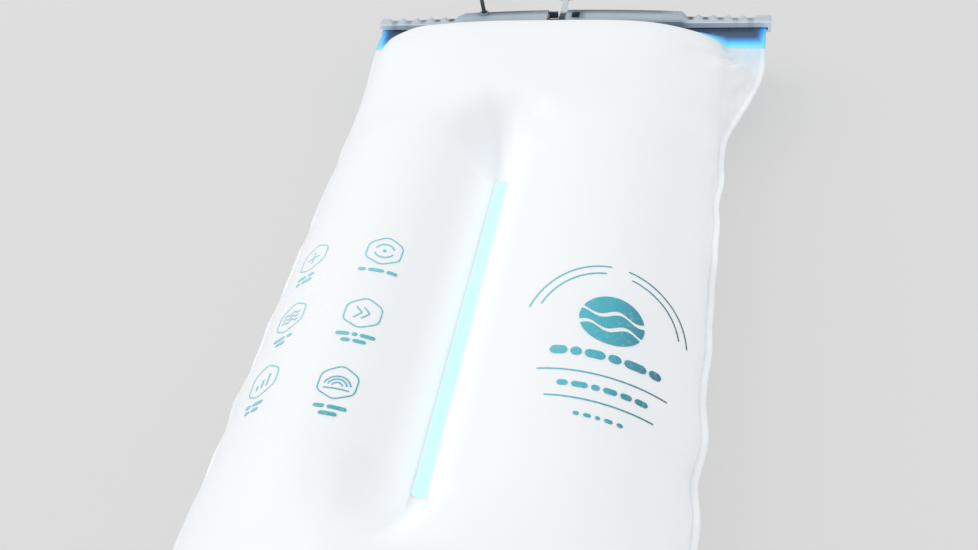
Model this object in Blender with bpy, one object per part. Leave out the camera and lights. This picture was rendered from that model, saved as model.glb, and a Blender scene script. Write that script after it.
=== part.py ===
"""Three-litre hydration reservoir, lying on its back and filled to its working shape.

Metres, +Z up. X runs along the top slider, +Y towards the closure, the front panel faces +Z.
The design coordinates have the slider's middle at x = 0; FRAME moves them so that the
assembly's box is centred over the origin with its underside at z = 0.
"""
import math
import bpy
import bmesh
from mathutils import Matrix, Vector

for o in list(bpy.data.objects):
    bpy.data.objects.remove(o, do_unlink=True)

MM = 0.001
FRAME = (-0.00025, 0.00192, 0.0)

# ---------------------------------------------------------------- materials


def material(name, colour, rough, metal=0.0, trans=0.0):
    m = bpy.data.materials.new(name)
    m.use_nodes = True
    b = m.node_tree.nodes["Principled BSDF"]
    b.inputs["Base Color"].default_value = (*colour, 1.0)
    b.inputs["Roughness"].default_value = rough
    b.inputs["Metallic"].default_value = metal
    b.inputs["Transmission Weight"].default_value = trans
    m.diffuse_color = (*colour, 1.0)
    return m


M_FILM = material("film_white", (0.88, 0.91, 0.93), 0.42)
M_FILM_B = material("film_back", (0.86, 0.89, 0.92), 0.42)
M_WELD = material("weld_aqua", (0.60, 0.93, 1.0), 0.40)
M_BAND = material("band_blue", (0.02, 0.22, 0.62), 0.30)
M_BAND_B = material("band_blue_back", (0.03, 0.26, 0.66), 0.30)
M_SLIDER = material("slider_grey", (0.40, 0.48, 0.54), 0.38)
M_HANGER = material("hanger_grey", (0.55, 0.60, 0.64), 0.40)
M_DARK = material("cord_dark", (0.045, 0.05, 0.055), 0.75)
M_TOGGLE = material("toggle_dark", (0.07, 0.08, 0.09), 0.45)
M_PORT = material("port_white", (0.80, 0.84, 0.87), 0.40)
M_PORT2 = material("port_grey", (0.33, 0.40, 0.46), 0.40)
M_BUTTON = material("button_blue", (0.05, 0.35, 0.70), 0.35)
M_RUBBER = material("seal_black", (0.03, 0.03, 0.035), 0.70)
M_STEEL = material("spring_steel", (0.72, 0.72, 0.74), 0.25, 1.0)
M_POM = material("valve_white", (0.85, 0.85, 0.83), 0.35)

frame = bpy.data.objects.new("reservoir_frame", None)
frame.location = FRAME
bpy.context.scene.collection.objects.link(frame)


def link(name, mesh, mat, origin=(0, 0, 0), parent=frame, rot=(0, 0, 0)):
    ob = bpy.data.objects.new(name, mesh)
    bpy.context.scene.collection.objects.link(ob)
    ob.parent = parent
    ob.location = origin
    ob.rotation_euler = rot
    if mat:
        mesh.materials.clear()
        mesh.materials.append(mat)
    return ob


def mesh_from_bm(name, bm, tri=False):
    bmesh.ops.recalc_face_normals(bm, faces=bm.faces)
    if tri:
        bmesh.ops.triangulate(bm, faces=bm.faces, ngon_method='EAR_CLIP')
    me = bpy.data.meshes.new(name)
    bm.to_mesh(me)
    bm.free()
    return me


def evaluated(ob):
    dg = bpy.context.evaluated_depsgraph_get()
    return bpy.data.meshes.new_from_object(ob.evaluated_get(dg))


def cut(ob, tool, op='DIFFERENCE'):
    """Exact Boolean of tool on ob, applied, with the tool removed."""
    m = ob.modifiers.new("b", 'BOOLEAN')
    m.operation = op
    m.object = tool
    m.solver = 'EXACT'
    bpy.context.view_layer.update()
    me = evaluated(ob)
    mats = [s for s in ob.data.materials]
    ob.modifiers.clear()
    ob.data = me
    me.materials.clear()
    me.materials.append(mats[0])
    bpy.data.objects.remove(tool, do_unlink=True)
    return ob


def revolve(name, prof, mat, centre, n=32, parent=frame):
    """Turned solid: prof is a closed list of (r, z), r may not reach 0 unless as a full disc."""
    bm = bmesh.new()
    rings = []
    for r, z in prof:
        if r < 1e-9:
            rings.append([bm.verts.new((0, 0, z))])
        else:
            rings.append([bm.verts.new((r * math.cos(2 * math.pi * k / n), r * math.sin(2 * math.pi * k / n), z))
                          for k in range(n)])
    m = len(rings)
    for i in range(m):
        a, b = rings[i], rings[(i + 1) % m]
        for k in range(n):
            k2 = (k + 1) % n
            if len(a) == 1 and len(b) == 1:
                break
            if len(a) == 1:
                bm.faces.new((a[0], b[k2], b[k]))
            elif len(b) == 1:
                bm.faces.new((a[k], a[k2], b[0]))
            else:
                bm.faces.new((a[k], a[k2], b[k2], b[k]))
    return link(name, mesh_from_bm(name, bm), mat, centre, parent)


def torus(name, R, r, mat, centre, n=28, k=10):
    prof = [(R + r * math.cos(2 * math.pi * i / k), r * math.sin(2 * math.pi * i / k)) for i in range(k)]
    return revolve(name, prof, mat, centre, n)


def box(name, lo, hi, mat=None, bevel=0.0, parent=frame):
    bm = bmesh.new()
    bmesh.ops.create_cube(bm, size=1.0)
    c = [(a + b) / 2 for a, b in zip(lo, hi)]
    s = [b - a for a, b in zip(lo, hi)]
    bmesh.ops.scale(bm, vec=s, verts=bm.verts)
    if bevel:
        bmesh.ops.bevel(bm, geom=list(bm.edges), offset=bevel, segments=2, affect='EDGES', profile=0.5)
    return link(name, mesh_from_bm(name, bm), mat, c, parent)


def cylinder(name, r, length, mat, centre, axis='Z', n=24, parent=frame, r2=None):
    bm = bmesh.new()
    bmesh.ops.create_cone(bm, cap_ends=True, segments=n, radius1=r, radius2=r if r2 is None else r2, depth=length)
    if axis == 'X':
        bmesh.ops.rotate(bm, verts=bm.verts, matrix=Matrix.Rotation(math.pi / 2, 3, 'Y'))
    if axis == 'Y':
        bmesh.ops.rotate(bm, verts=bm.verts, matrix=Matrix.Rotation(-math.pi / 2, 3, 'X'))
    return link(name, mesh_from_bm(name, bm), mat, centre, parent)


def extrude_yz(name, outline, x0, x1, mat):
    """A prism along X from a closed (y, z) outline."""
    bm = bmesh.new()
    a = [bm.verts.new((x0, y, z)) for y, z in outline]
    b = [bm.verts.new((x1, y, z)) for y, z in outline]
    n = len(a)
    bm.faces.new(a)
    bm.faces.new(b[::-1])
    for i in range(n):
        bm.faces.new((a[i], b[i], b[(i + 1) % n], a[(i + 1) % n]))
    return link(name, mesh_from_bm(name, bm, True), mat)


def extrude_xz(name, outline, y0, y1, mat):
    """A prism along Y from a closed (x, z) outline."""
    bm = bmesh.new()
    a = [bm.verts.new((x, y0, z)) for x, z in outline]
    b = [bm.verts.new((x, y1, z)) for x, z in outline]
    n = len(a)
    bm.faces.new(a)
    bm.faces.new(b[::-1])
    for i in range(n):
        bm.faces.new((a[i], b[i], b[(i + 1) % n], a[(i + 1) % n]))
    return link(name, mesh_from_bm(name, bm, True), mat)


# ---------------------------------------------------------------- bag shape
YF, YT = -0.240, 0.186          # foot edge, start of the flat closure
YW = 0.1680                     # where the welded top band takes over from the film
ZS, ZC = 0.0275, 0.0301         # seam height in the body, and at the closure
HF, HB = 0.0335, 0.0358         # crest of the front above the seam; back before it meets the floor
XB = -0.0140                    # baffle weld
YB1, YB2 = 0.0540, -0.1340      # its ends
XL, XR = -0.0974, 0.0838        # outer edges of the side welds along the body
XT = 0.1005                     # half width at the closure
FL = 0.0028                     # width of the side weld
GAP = 0.00015                   # half the gap between front and back film at the welds
T = 0.0009                      # film
PZ = 0.0560                     # film height at the exit port
PX, PY, PR = -0.0050, -0.2060, 0.0182   # exit port


def clamp(v, a=0.0, b=1.0):
    return a if v < a else b if v > b else v


def sm(t):
    t = clamp(t)
    return t * t * (3 - 2 * t)


def seam_z(y):
    return ZS + (ZC - ZS) * sm((y - 0.100) / 0.080)


def edges(y):
    xl = XL + (-XT - XL) * sm((y - 0.112) / 0.064)
    xr = XR + (XT - XR) * sm((y - 0.082) / 0.045)
    r = 0.045
    q = clamp((YF + r - y) / r)
    k = 0.024 * (1 - math.sqrt(max(0.0, 1 - q * q)))
    return xl + k, xr - k


def bulge(y):
    """Edges of the filled part: the film's corners at the closure lie flat outside them."""
    r = 0.045
    q = clamp((YF + r - y) / r)
    k = 0.024 * (1 - math.sqrt(max(0.0, 1 - q * q)))
    return XL + FL + k, XR - FL - k


def crest(y, h):
    t = clamp((YT - y) / 0.075)
    q = clamp((y - YF - FL) / 0.078)
    return h * (1 - (1 - t) ** 2.0) ** 1.10 * (1 - (1 - q) ** 2.2) ** 0.60


def rise(y):
    """Extra height of the front near the closure, where the seam stays low."""
    return 0.0060 * sm((y - 0.100) / 0.080) * sm((YT - y) / 0.030)


def groove(y):
    return sm((YB1 + 0.036 - y) / 0.036) * sm((y - (YB2 - 0.050)) / 0.050)


def lobes(x, y):
    """0 at the side welds, 1 on the crests."""
    xl, xr = bulge(y)
    c, w = (xl + xr) / 2, (xr - xl) / 2
    v = clamp((x - c) / w, -1, 1)
    t = sm((y - 0.090) / 0.060)
    near = (max(0.0, 1 - abs(v) ** 3.5) ** 0.42) if v < 0 else (max(0.0, 1 - v ** 4.5) ** 0.80)
    m = max(0.0, 1 - abs(v) ** 2.3) ** 0.52 * (1 - t) + near * t
    s = 0.0035
    if x > XB:
        u = (x - XB - s) / (xr - XB - s)
    else:
        u = (XB - s - x) / (XB - s - xl)
    u = clamp(u)
    p = math.sin(math.pi * u ** 0.86) ** 0.60 if 0 < u < 1 else 0.0
    off = 1 - sm((YB1 + 0.004 - y) / 0.016) * sm((y - YB2 + 0.012) / 0.016)
    p *= max(1e-6, sm((abs(x - XB) - s) / 0.020)) ** (0.35 * off) if abs(x - XB) > s else 1.0
    p = p + 0.077 * (1 - abs(v) ** 6) * (1 - p)
    g = groove(y)
    return m * (1 - g) + p * g


def smin(a, b, k=0.006):
    h = clamp(0.5 + 0.5 * (b - a) / k)
    return b * (1 - h) + a * h - k * h * (1 - h)


def shift_y(y):
    return -0.001 * clamp((y + 0.04) / 0.12, -1, 1)


def front_pair(x, y, xi):
    zs = seam_z(y)
    g = lobes(x, y)
    c = crest(y, HF) + rise(y)
    zo = zs + GAP + T + (max(c, T + GAP) - T - GAP) * g
    yi = y + shift_y(y)
    zi = seam_z(yi) + GAP + (max(c - 0.001, GAP) - GAP) * g
    # the film lies flat against the port's flange
    r = math.hypot(x - PX, y - PY)
    w = 0.0115 + 0.0135 * (1 + (y - PY) / max(r, 1e-6)) / 2
    k = 1 - sm((r - 0.0196) / w)
    if k > 0:
        d = (PZ - zo) * k
        zo += d
        zi += d
    return (x, y, zo), (xi, yi, zi)


def back_pair(x, y, xi):
    zs = seam_z(y)
    g = lobes(x, y)
    c = crest(y, HB)
    d = T + GAP + (max(c, T + GAP) - T - GAP) * g
    zo = zs - smin(d, zs, 0.006) if d > 0.012 else zs - d
    yi = y + shift_y(y)
    zi = zo + T + 0.0001 * g + (seam_z(yi) - zs)
    return (x, y, zo), (xi, yi, zi)


def columns(y, nl=13, nr=15):
    """Outer and inner x positions across the bag, bulge only: (outer, inner)."""
    xl, xr = edges(y)
    xl += FL
    xr -= FL
    s = 0.0035
    out = []
    for i in range(nl):
        a = i / (nl - 1)
        a = 0.55 * (1 - math.cos(math.pi * a)) / 2 + 0.45 * a
        out.append(xl + (XB - s - xl) * a)
    for i in range(nr):
        a = i / (nr - 1)
        a = 0.55 * (1 - math.cos(math.pi * a)) / 2 + 0.45 * a
        out.append(XB + s + (xr - XB - s) * a)
    c, w = (xl + xr) / 2, (xr - xl) / 2
    inn = [c + (x - c) * (w - 0.001) / w for x in out]
    return out, inn


def shell(name, pair, sign, rows, mat, foot=True):
    """Closed film panel with a flat weld round its sides and foot."""
    bm = bmesh.new()
    top, bot = [], []

    def flange(x, y):
        zs = seam_z(y)
        return (x, y, zs + sign * (GAP + T)), (x, y, zs + sign * GAP)

    if foot:
        cols, _ = columns(rows[0])
        xl, xr = edges(YF + 0.0004)
        span = (cols[-1] - cols[0])
        ro, ri = [], []
        xs = [xl] + [xl + FL * 0.6 + (xr - xl - 1.2 * FL) * (x - cols[0]) / span for x in cols] + [xr]
        for x in xs:
            a, b = flange(x, YF)
            ro.append(bm.verts.new(a))
            ri.append(bm.verts.new(b))
        top.append(ro)
        bot.append(ri)
    for y in rows:
        o, i = columns(y)
        xl, xr = edges(y)
        ro, ri = [], []
        a, b = flange(xl, y)
        ro.append(bm.verts.new(a))
        ri.append(bm.verts.new(b))
        for x, xi in zip(o, i):
            a, b = pair(x, y, xi)
            ro.append(bm.verts.new(a))
            ri.append(bm.verts.new(b))
        a, b = flange(xr, y)
        ro.append(bm.verts.new(a))
        ri.append(bm.verts.new(b))
        top.append(ro)
        bot.append(ri)
    m, n = len(top), len(top[0])
    for i in range(m - 1):
        for j in range(n - 1):
            bm.faces.new((top[i][j], top[i][j + 1], top[i + 1][j + 1], top[i + 1][j]))
            bm.faces.new((bot[i][j], bot[i + 1][j], bot[i + 1][j + 1], bot[i][j + 1]))
    for i in range(m - 1):
        bm.faces.new((top[i][0], top[i + 1][0], bot[i + 1][0], bot[i][0]))
        bm.faces.new((top[i][-1], bot[i][-1], bot[i + 1][-1], top[i + 1][-1]))
    for j in range(n - 1):
        bm.faces.new((top[0][j], bot[0][j], bot[0][j + 1], top[0][j + 1]))
        bm.faces.new((top[-1][j], top[-1][j + 1], bot[-1][j + 1], bot[-1][j]))
    return link(name, mesh_from_bm(name, bm, True), mat)


def rows_between(a, b, n, ea=0.6, eb=0.6):
    out = []
    for i in range(n):
        t = i / (n - 1)
        s = (1 - math.cos(math.pi * t)) / 2
        out.append(a + (b - a) * (0.6 * s + 0.4 * t))
    return out


film_rows = rows_between(YF + FL, YW - 0.0003, 42)
front_film = shell("front_film", front_pair, 1, film_rows, M_FILM)
back_film = shell("back_film", back_pair, -1, film_rows, M_FILM_B)


ZP = PZ - 0.0002
hole = cylinder("hole_tool", PR + 0.0003, 0.03, None, (PX, PY, ZP), n=40)
cut(front_film, hole)


def band(name, pair, sign, mat):
    """Top band: follows the film from its weld, then runs flat into the slider and ends in a bead."""
    bm = bmesh.new()
    top, bot = [], []
    rows = [YW, 0.1712, 0.1745, 0.1775, 0.1805, 0.1830, 0.1848, 0.1858]
    for y in rows:
        o, i = columns(y)
        xl, xr = edges(y)
        ro, ri = [], []
        zs = seam_z(y)
        ro.append(bm.verts.new((xl, y, zs + sign * (GAP + T))))
        ri.append(bm.verts.new((xl, y, zs + sign * GAP)))
        for x, xi in zip(o, i):
            a, b = pair(x, y, xi)
            ro.append(bm.verts.new(a))
            ri.append(bm.verts.new(b))
        ro.append(bm.verts.new((xr, y, zs + sign * (GAP + T))))
        ri.append(bm.verts.new((xr, y, zs + sign * GAP)))
        top.append(ro)
        bot.append(ri)
    xs = [-XT] + columns(0.186)[0] + [XT]
    for y, th in ((0.1872, 0.0005), (0.1902, 0.0005), (0.1904, 0.00120), (0.1922, 0.00120), (0.1926, 0.0008)):
        top.append([bm.verts.new((x, y, ZC + sign * (GAP + th))) for x in xs])
        bot.append([bm.verts.new((x, y, ZC + sign * GAP)) for x in xs])
    m, n = len(top), len(top[0])
    for i in range(m - 1):
        for j in range(n - 1):
            bm.faces.new((top[i][j], top[i][j + 1], top[i + 1][j + 1], top[i + 1][j]))
            bm.faces.new((bot[i][j], bot[i + 1][j], bot[i + 1][j + 1], bot[i][j + 1]))
    for i in range(m - 1):
        bm.faces.new((top[i][0], top[i + 1][0], bot[i + 1][0], bot[i][0]))
        bm.faces.new((top[i][-1], bot[i][-1], bot[i + 1][-1], top[i + 1][-1]))
    for j in range(n - 1):
        bm.faces.new((top[0][j], bot[0][j], bot[0][j + 1], top[0][j + 1]))
        bm.faces.new((top[-1][j], top[-1][j + 1], bot[-1][j + 1], bot[-1][j]))
    return link(name, mesh_from_bm(name, bm, True), mat)


band("front_top_band", front_pair, 1, M_BAND)
band("back_top_band", back_pair, -1, M_BAND_B)

# ---------------------------------------------------------------- baffle: two rails that press together
R = 0.0032
extrude_xz("front_baffle_rail",
           [(XB - R, ZS + 0.0022), (XB - R, ZS + 0.00015), (XB - 0.0009, ZS + 0.00015), (XB - 0.0009, ZS - 0.0012),
            (XB + 0.0009, ZS - 0.0012), (XB + 0.0009, ZS + 0.00015), (XB + R, ZS + 0.00015), (XB + R, ZS + 0.0022)],
           YB2, YB1, M_WELD)
extrude_xz("back_baffle_rail",
           [(XB - R, ZS - 0.0022), (XB + R, ZS - 0.0022), (XB + R, ZS - 0.00015), (XB + 0.0013, ZS - 0.00015),
            (XB + 0.0013, ZS - 0.0016), (XB - 0.0013, ZS - 0.0016), (XB - 0.0013, ZS - 0.00015),
            (XB - R, ZS - 0.00015)],
           YB2, YB1, M_WELD)

# ---------------------------------------------------------------- slider
SY0 = 0.1886                    # front face
SL0, SL1 = -0.1025, 0.1013      # open length of the channel
SEND = 0.1030                   # closed end
PITCH = 0.0076                  # finger grips


def first(x):
    return 0.0640 if x < 0 else 0.0622


def slider_depth(x):
    c = clamp(1 - (abs(x) / 0.086) ** 2)
    return 0.0068 + 0.0034 * c + 0.0018 * sm((0.0600 - abs(x)) / 0.0030)


def slider_top(x):
    c = clamp(1 - (abs(x) / 0.060) ** 2)
    return 0.0047 + (0.0007 + 0.0007 * c) * sm((0.0600 - abs(x)) / 0.0030)


def grip(x):
    a = abs(x) - first(x)
    k = round(a / PITCH)
    if k < 0 or k > 4:
        return 0.0
    d = abs(a - k * PITCH) / (0.42 * PITCH)
    return max(0.0, 1 - d * d) ** 0.5 if d < 1 else 0.0


def slider_section(x, end=1.0):
    d = slider_depth(x)
    h = slider_top(x)
    g = grip(x) * 0.0014
    y1 = SY0 + d
    e = 1 - end
    hb = 0.0024
    # outside, from the lower lip of the slot round the back to the upper lip
    out = [
        (SY0, -0.0009),
        (SY0, -hb + 0.0006),
        (SY0 + 0.0007, -hb),
        (y1 - 0.0012, -hb),
        (y1, -hb + 0.0012),
        (y1, h - 0.0017 - g * 0.7),
        (y1 - 0.0005, h - 0.0008 - g),
        (y1 - 0.0014, h - g),
        (SY0 + 0.0034, h - g * 0.70),
        (SY0 + 0.0020, h - g * 0.10),
        (SY0 + 0.0008, h - 0.0003),
        (SY0, h - 0.0011),
        (SY0, 0.0009),
    ]
    inner = [
        (SY0 + 0.0013, 0.0009),
        (SY0 + 0.0013, 0.0016),
        (SY0 + 0.0044, 0.0016),
        (SY0 + 0.0044, -0.0016),
        (SY0 + 0.0013, -0.0016),
        (SY0 + 0.0013, -0.0009),
    ]
    if e:
        cy = SY0 + d / 2
        out = [(cy + (y - cy) * (1 - 0.16 * e), z * (1 - 0.22 * e)) if k not in (0, 12) else (y, z)
               for k, (y, z) in enumerate(out)]
    return out, inner


def slider_stations():
    xs = {s * a for s in (-1, 1) for a in (0.0564, 0.0572, 0.0579, 0.0584)}
    for k in range(5):
        for s in (-1, 1):
            c = first(s) + k * PITCH
            for f in (-0.42, -0.32, -0.14, 0.14, 0.32, 0.42):
                xs.add(round(s * (c + f * PITCH), 6))
    for x in (-0.1025, -0.1015, -0.0985, -0.048, -0.036, -0.024, -0.012, 0.0, 0.012, 0.024, 0.036, 0.048, 0.0985):
        xs.add(x)
    return sorted(x for x in xs if SL0 <= x < SL1 - 0.0005)


def build_slider():
    bm = bmesh.new()
    xs = slider_stations() + [SL1]
    rings = []
    for x in xs:
        e = 1.0
        if x < SL0 + 0.0010:
            e = 0.35 + 0.65 * (x - SL0) / 0.0010
        o, i = slider_section(x, e)
        ro = [bm.verts.new((x, y, ZC + z)) for y, z in o]
        ri = [bm.verts.new((x, y, ZC + z)) for y, z in i]
        rings.append((ro, ri))
    for a, b in zip(rings, rings[1:]):
        ra, rb = a[0] + a[1], b[0] + b[1]
        n = len(ra)
        for k in range(n):
            bm.faces.new((ra[k], ra[(k + 1) % n], rb[(k + 1) % n], rb[k]))
    bm.faces.new(rings[0][0] + rings[0][1])
    ro, ri = rings[-1]
    bm.faces.new([ro[0], ro[-1]] + ri)
    prev = ro
    for x, e in ((SEND - 0.0006, 1.0), (SEND, 0.45)):
        o, _ = slider_section(x, e)
        cur = [bm.verts.new((x, y, ZC + z)) for y, z in o]
        n = len(cur)
        for k in range(n):
            bm.faces.new((prev[k], prev[(k + 1) % n], cur[(k + 1) % n], cur[k]))
        prev = cur
    bm.faces.new(prev)
    return link("slider_body", mesh_from_bm("slider_body", bm, True), M_SLIDER)


slider = build_slider()

# saddle for the hanger at the middle of the slider's back
HX, HY, HZ = -0.0048, 0.1980, ZC + 0.0012      # hanger pin
saddle = box("saddle_tool", (-0.01397, 0.19437, ZC - 0.00293), (0.00613, 0.20237, ZC + 0.00381), M_SLIDER, 0.0007)
cut(slider, saddle, 'UNION')
cut(slider, box("pocket_tool", (-0.0122, 0.1948, ZC - 0.0016), (-0.0022, 0.2008, ZC + 0.009), M_SLIDER))
cut(slider, box("apron_tool", (-0.0112, 0.1902, ZC + 0.0025), (-0.0030, 0.1960, ZC + 0.009), M_SLIDER))
cut(slider, box("notch_tool", (-0.0078, 0.2000, ZC - 0.0006), (-0.0018 - 0.0008, 0.2060, ZC + 0.009), M_SLIDER))
cut(slider, box("slot_tool", (0.0006, 0.1914, ZC + 0.0022), (0.0046, 0.1968, ZC + 0.009), M_SLIDER))
cut(slider, cylinder("bore_tool", 0.0009, 0.0130, M_SLIDER, (-0.0071, HY, HZ), 'X', 20))
# eyelet for the pull cord
EX, EY, EZ = -0.0465, 0.1965, ZC + 0.0066
cut(slider, cylinder("eye_tool", 0.0024, 0.0050, M_SLIDER, (EX, EY, EZ - 0.0025), 'Z', 24), 'UNION')
cut(slider, cylinder("eyehole_tool", 0.0014, 0.0040, M_SLIDER, (EX, EY, EZ), 'Z', 16))

cylinder("hanger_pin", 0.0006, 0.0126, M_STEEL, (-0.0071, HY, HZ), 'X', 16)

# hanger: an eye on the pin, a tapering stem and a hang ring, lying back on its stop
hanger_parent = bpy.data.objects.new("hanger_axis", None)
bpy.context.scene.collection.objects.link(hanger_parent)
hanger_parent.parent = frame
hanger_parent.location = (HX, HY, HZ)
hanger_parent.rotation_euler = (math.radians(16), 0, 0)


def build_hanger():
    bm = bmesh.new()
    L, W0, W1, TH = 0.0150, 0.0044, 0.0024, 0.0017
    ob = cylinder("hanger", 0.0019, 0.0040, M_HANGER, (0, 0, 0), 'X', 24, hanger_parent)
    sm_ = bmesh.new()
    pts = []
    for y, w, t in ((0.0004, W0 * 0.86, TH), (0.0050, W0 * 0.90, TH), (0.0105, W1, TH), (L + 0.0010, W1 * 1.5, TH)):
        c = [sm_.verts.new(p) for p in ((-w / 2, y, -t / 2), (w / 2, y, -t / 2), (w / 2, y, t / 2), (-w / 2, y, t / 2))]
        pts.append(c)
    sm_.faces.new(pts[0][::-1])
    sm_.faces.new(pts[-1])
    for a, b in zip(pts, pts[1:]):
        for k in range(4):
            sm_.faces.new((a[k], a[(k + 1) % 4], b[(k + 1) % 4], b[k]))
    bm.free()
    stem = link("stem_tool", mesh_from_bm("stem", sm_), M_HANGER, (0, 0, 0), hanger_parent)
    cut(ob, stem, 'UNION')
    ring_prof = [(0.0092, -0.0008), (0.0098, -0.0012), (0.0120, -0.0012), (0.0127, -0.0007), (0.0127, 0.0007),
                 (0.0120, 0.0012), (0.0098, 0.0012), (0.0092, 0.0008)]
    ring = revolve("ring_tool", ring_prof, M_HANGER, (0, L + 0.0118, 0), 40, hanger_parent)
    cut(ob, ring, 'UNION')
    bore = cylinder("bore_tool", 0.0009, 0.0080, M_HANGER, (0, 0, 0), 'X', 20, hanger_parent)
    cut(ob, bore)
    return ob


build_hanger()

# ---------------------------------------------------------------- pull cord and its toggle
CORD_R = 0.00105
route = [(EX, EY, EZ + 0.0003), (EX - 0.0006, EY + 0.0008, EZ + 0.0050), (EX - 0.0022, EY + 0.0060, EZ + 0.0098),
         (EX - 0.0046, EY + 0.0160, EZ + 0.0102), (EX - 0.0072, EY + 0.0300, EZ + 0.0048),
         (EX - 0.0094, EY + 0.0440, EZ - 0.0040), (EX - 0.0110, EY + 0.0580, EZ - 0.0148),
         (EX - 0.0122, EY + 0.0710, EZ - 0.0245), (EX - 0.0128, EY + 0.0840, 0.0034), (EX - 0.0130, EY + 0.0960, 0.0013),
         (EX - 0.0110, EY + 0.1080, 0.0013), (EX - 0.0020, EY + 0.1160, 0.0013), (EX + 0.0100, EY + 0.1180, 0.0016),
         (EX + 0.0180, EY + 0.1170, 0.0030)]


def catmull(p, per=6):
    out = []
    q = [Vector(a) for a in p]
    q = [q[0] * 2 - q[1]] + q + [q[-1] * 2 - q[-2]]
    for i in range(1, len(q) - 2):
        a, b, c, d = q[i - 1], q[i], q[i + 1], q[i + 2]
        for k in range(per):
            t = k / per
            out.append(0.5 * ((2 * b) + (c - a) * t + (2 * a - 5 * b + 4 * c - d) * t * t
                              + (3 * b - a - 3 * c + d) * t ** 3))
    out.append(q[-2])
    return out


def respace(pts, step):
    out = [pts[0]]
    acc = 0.0
    for a, b in zip(pts, pts[1:]):
        acc += (b - a).length
        if acc >= step:
            out.append(b)
            acc = 0.0
    if (out[-1] - pts[-1]).length > 1e-6:
        if (out[-1] - pts[-1]).length < step * 0.5:
            out[-1] = pts[-1]
        else:
            out.append(pts[-1])
    return out


pts = respace(catmull(route, 12), 2.2 * 2 * CORD_R)
for p in pts:
    p.z = max(p.z, CORD_R + 0.0002)
cu = bpy.data.curves.new("pull_cord", 'CURVE')
cu.dimensions = '3D'
cu.bevel_depth = CORD_R
cu.bevel_resolution = 2
cu.use_fill_caps = True
sp = cu.splines.new('POLY')
sp.points.add(len(pts) - 1)
for s, p in zip(sp.points, pts):
    s.co = (p.x, p.y, p.z, 1)
cord = bpy.data.objects.new("pull_cord", cu)
bpy.context.scene.collection.objects.link(cord)
cord.parent = frame
cu.materials.append(M_DARK)

end, before = pts[-1], pts[-2]
dr = (end - before)
dr.z = 0
dr.normalize()
tog = revolve("cord_toggle", [(0.0, 0.0), (0.0020, 0.0), (0.0030, 0.0016), (0.0032, 0.0080), (0.0030, 0.0146),
                              (0.0020, 0.0160), (0.0, 0.0160)], M_TOGGLE, (0, 0, 0), 20)
tog.rotation_euler = dr.to_track_quat('Z', 'Y').to_euler()
tog.location = Vector((end.x, end.y, 0.0)) + dr * 0.0004 + Vector((0, 0, 0.0036))

# ---------------------------------------------------------------- exit port with its shut-off valve
PC = (PX, PY, ZP)


def mm(prof):
    return [(r * MM, z * MM) for r, z in prof]


revolve("port_flange", mm([(7.5, 2.0), (11.6, 2.0), (11.6, 0.9), (17.2, 0.9), (17.9, 0.3), (17.9, -0.9), (17.2, -1.3),
                           (9.4, -1.3), (9.4, -10.8), (5.6, -10.8), (5.6, -9.6), (7.5, -9.6)]), M_PORT, PC, 40)
torus("port_gasket", 9.4 * MM, 0.55 * MM, M_RUBBER, (PX, PY, ZP + 2.85 * MM), 32, 8)

body = revolve("port_body", mm([(3.5, 3.8), (3.5, 2.3), (8.2, 2.3), (8.2, 3.7), (10.7, 3.7), (10.7, 2.3), (11.9, 2.3),
                                (12.2, 2.9), (12.2, 12.6), (11.3, 13.5), (5.6, 13.5), (5.0, 12.9), (5.0, 6.7),
                                (6.3, 6.7), (6.3, 4.9), (5.0, 4.9), (5.0, 3.8)]), M_PORT2, PC, 40)
lug = box("lug_tool", (PX - 4.6 * MM, PY + 9.0 * MM, ZP + 5.0 * MM), (PX + 4.6 * MM, PY + 16.6 * MM, ZP + 12.4 * MM),
          M_PORT2, 0.7 * MM)
cut(body, lug, 'UNION')
slot = box("slot_tool", (PX - 7.9 * MM, PY - 16.0 * MM, ZP + 8.0 * MM), (PX + 7.9 * MM, PY + 9.6 * MM, ZP + 9.9 * MM),
           M_PORT2)
cut(body, slot)
pock = cylinder("pocket_tool", 2.3 * MM, 7.8 * MM, M_PORT2, (PX, PY + (7.5 + 3.9) * MM, ZP + 8.95 * MM), 'Y', 20)
cut(body, pock)

torus("socket_o_ring", 5.4 * MM, 0.55 * MM, M_RUBBER, (PX, PY, ZP + 5.8 * MM), 28, 8)

plate = box("latch_plate", (PX - 7.5 * MM, PY - 14.0 * MM, ZP + 8.35 * MM), (PX + 7.5 * MM, PY + 7.5 * MM, ZP + 9.55 * MM),
            M_STEEL)
ph = cylinder("plate_tool", 5.2 * MM, 6 * MM, M_STEEL, (PX, PY + 0.9 * MM, ZP + 8.9 * MM), 'Z', 28)
cut(plate, ph)
box("release_button", (PX - 6.4 * MM, PY - 17.4 * MM, ZP + 4.4 * MM), (PX + 6.4 * MM, PY - 14.3 * MM, ZP + 12.6 * MM),
    M_BUTTON, 1.1 * MM)


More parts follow.
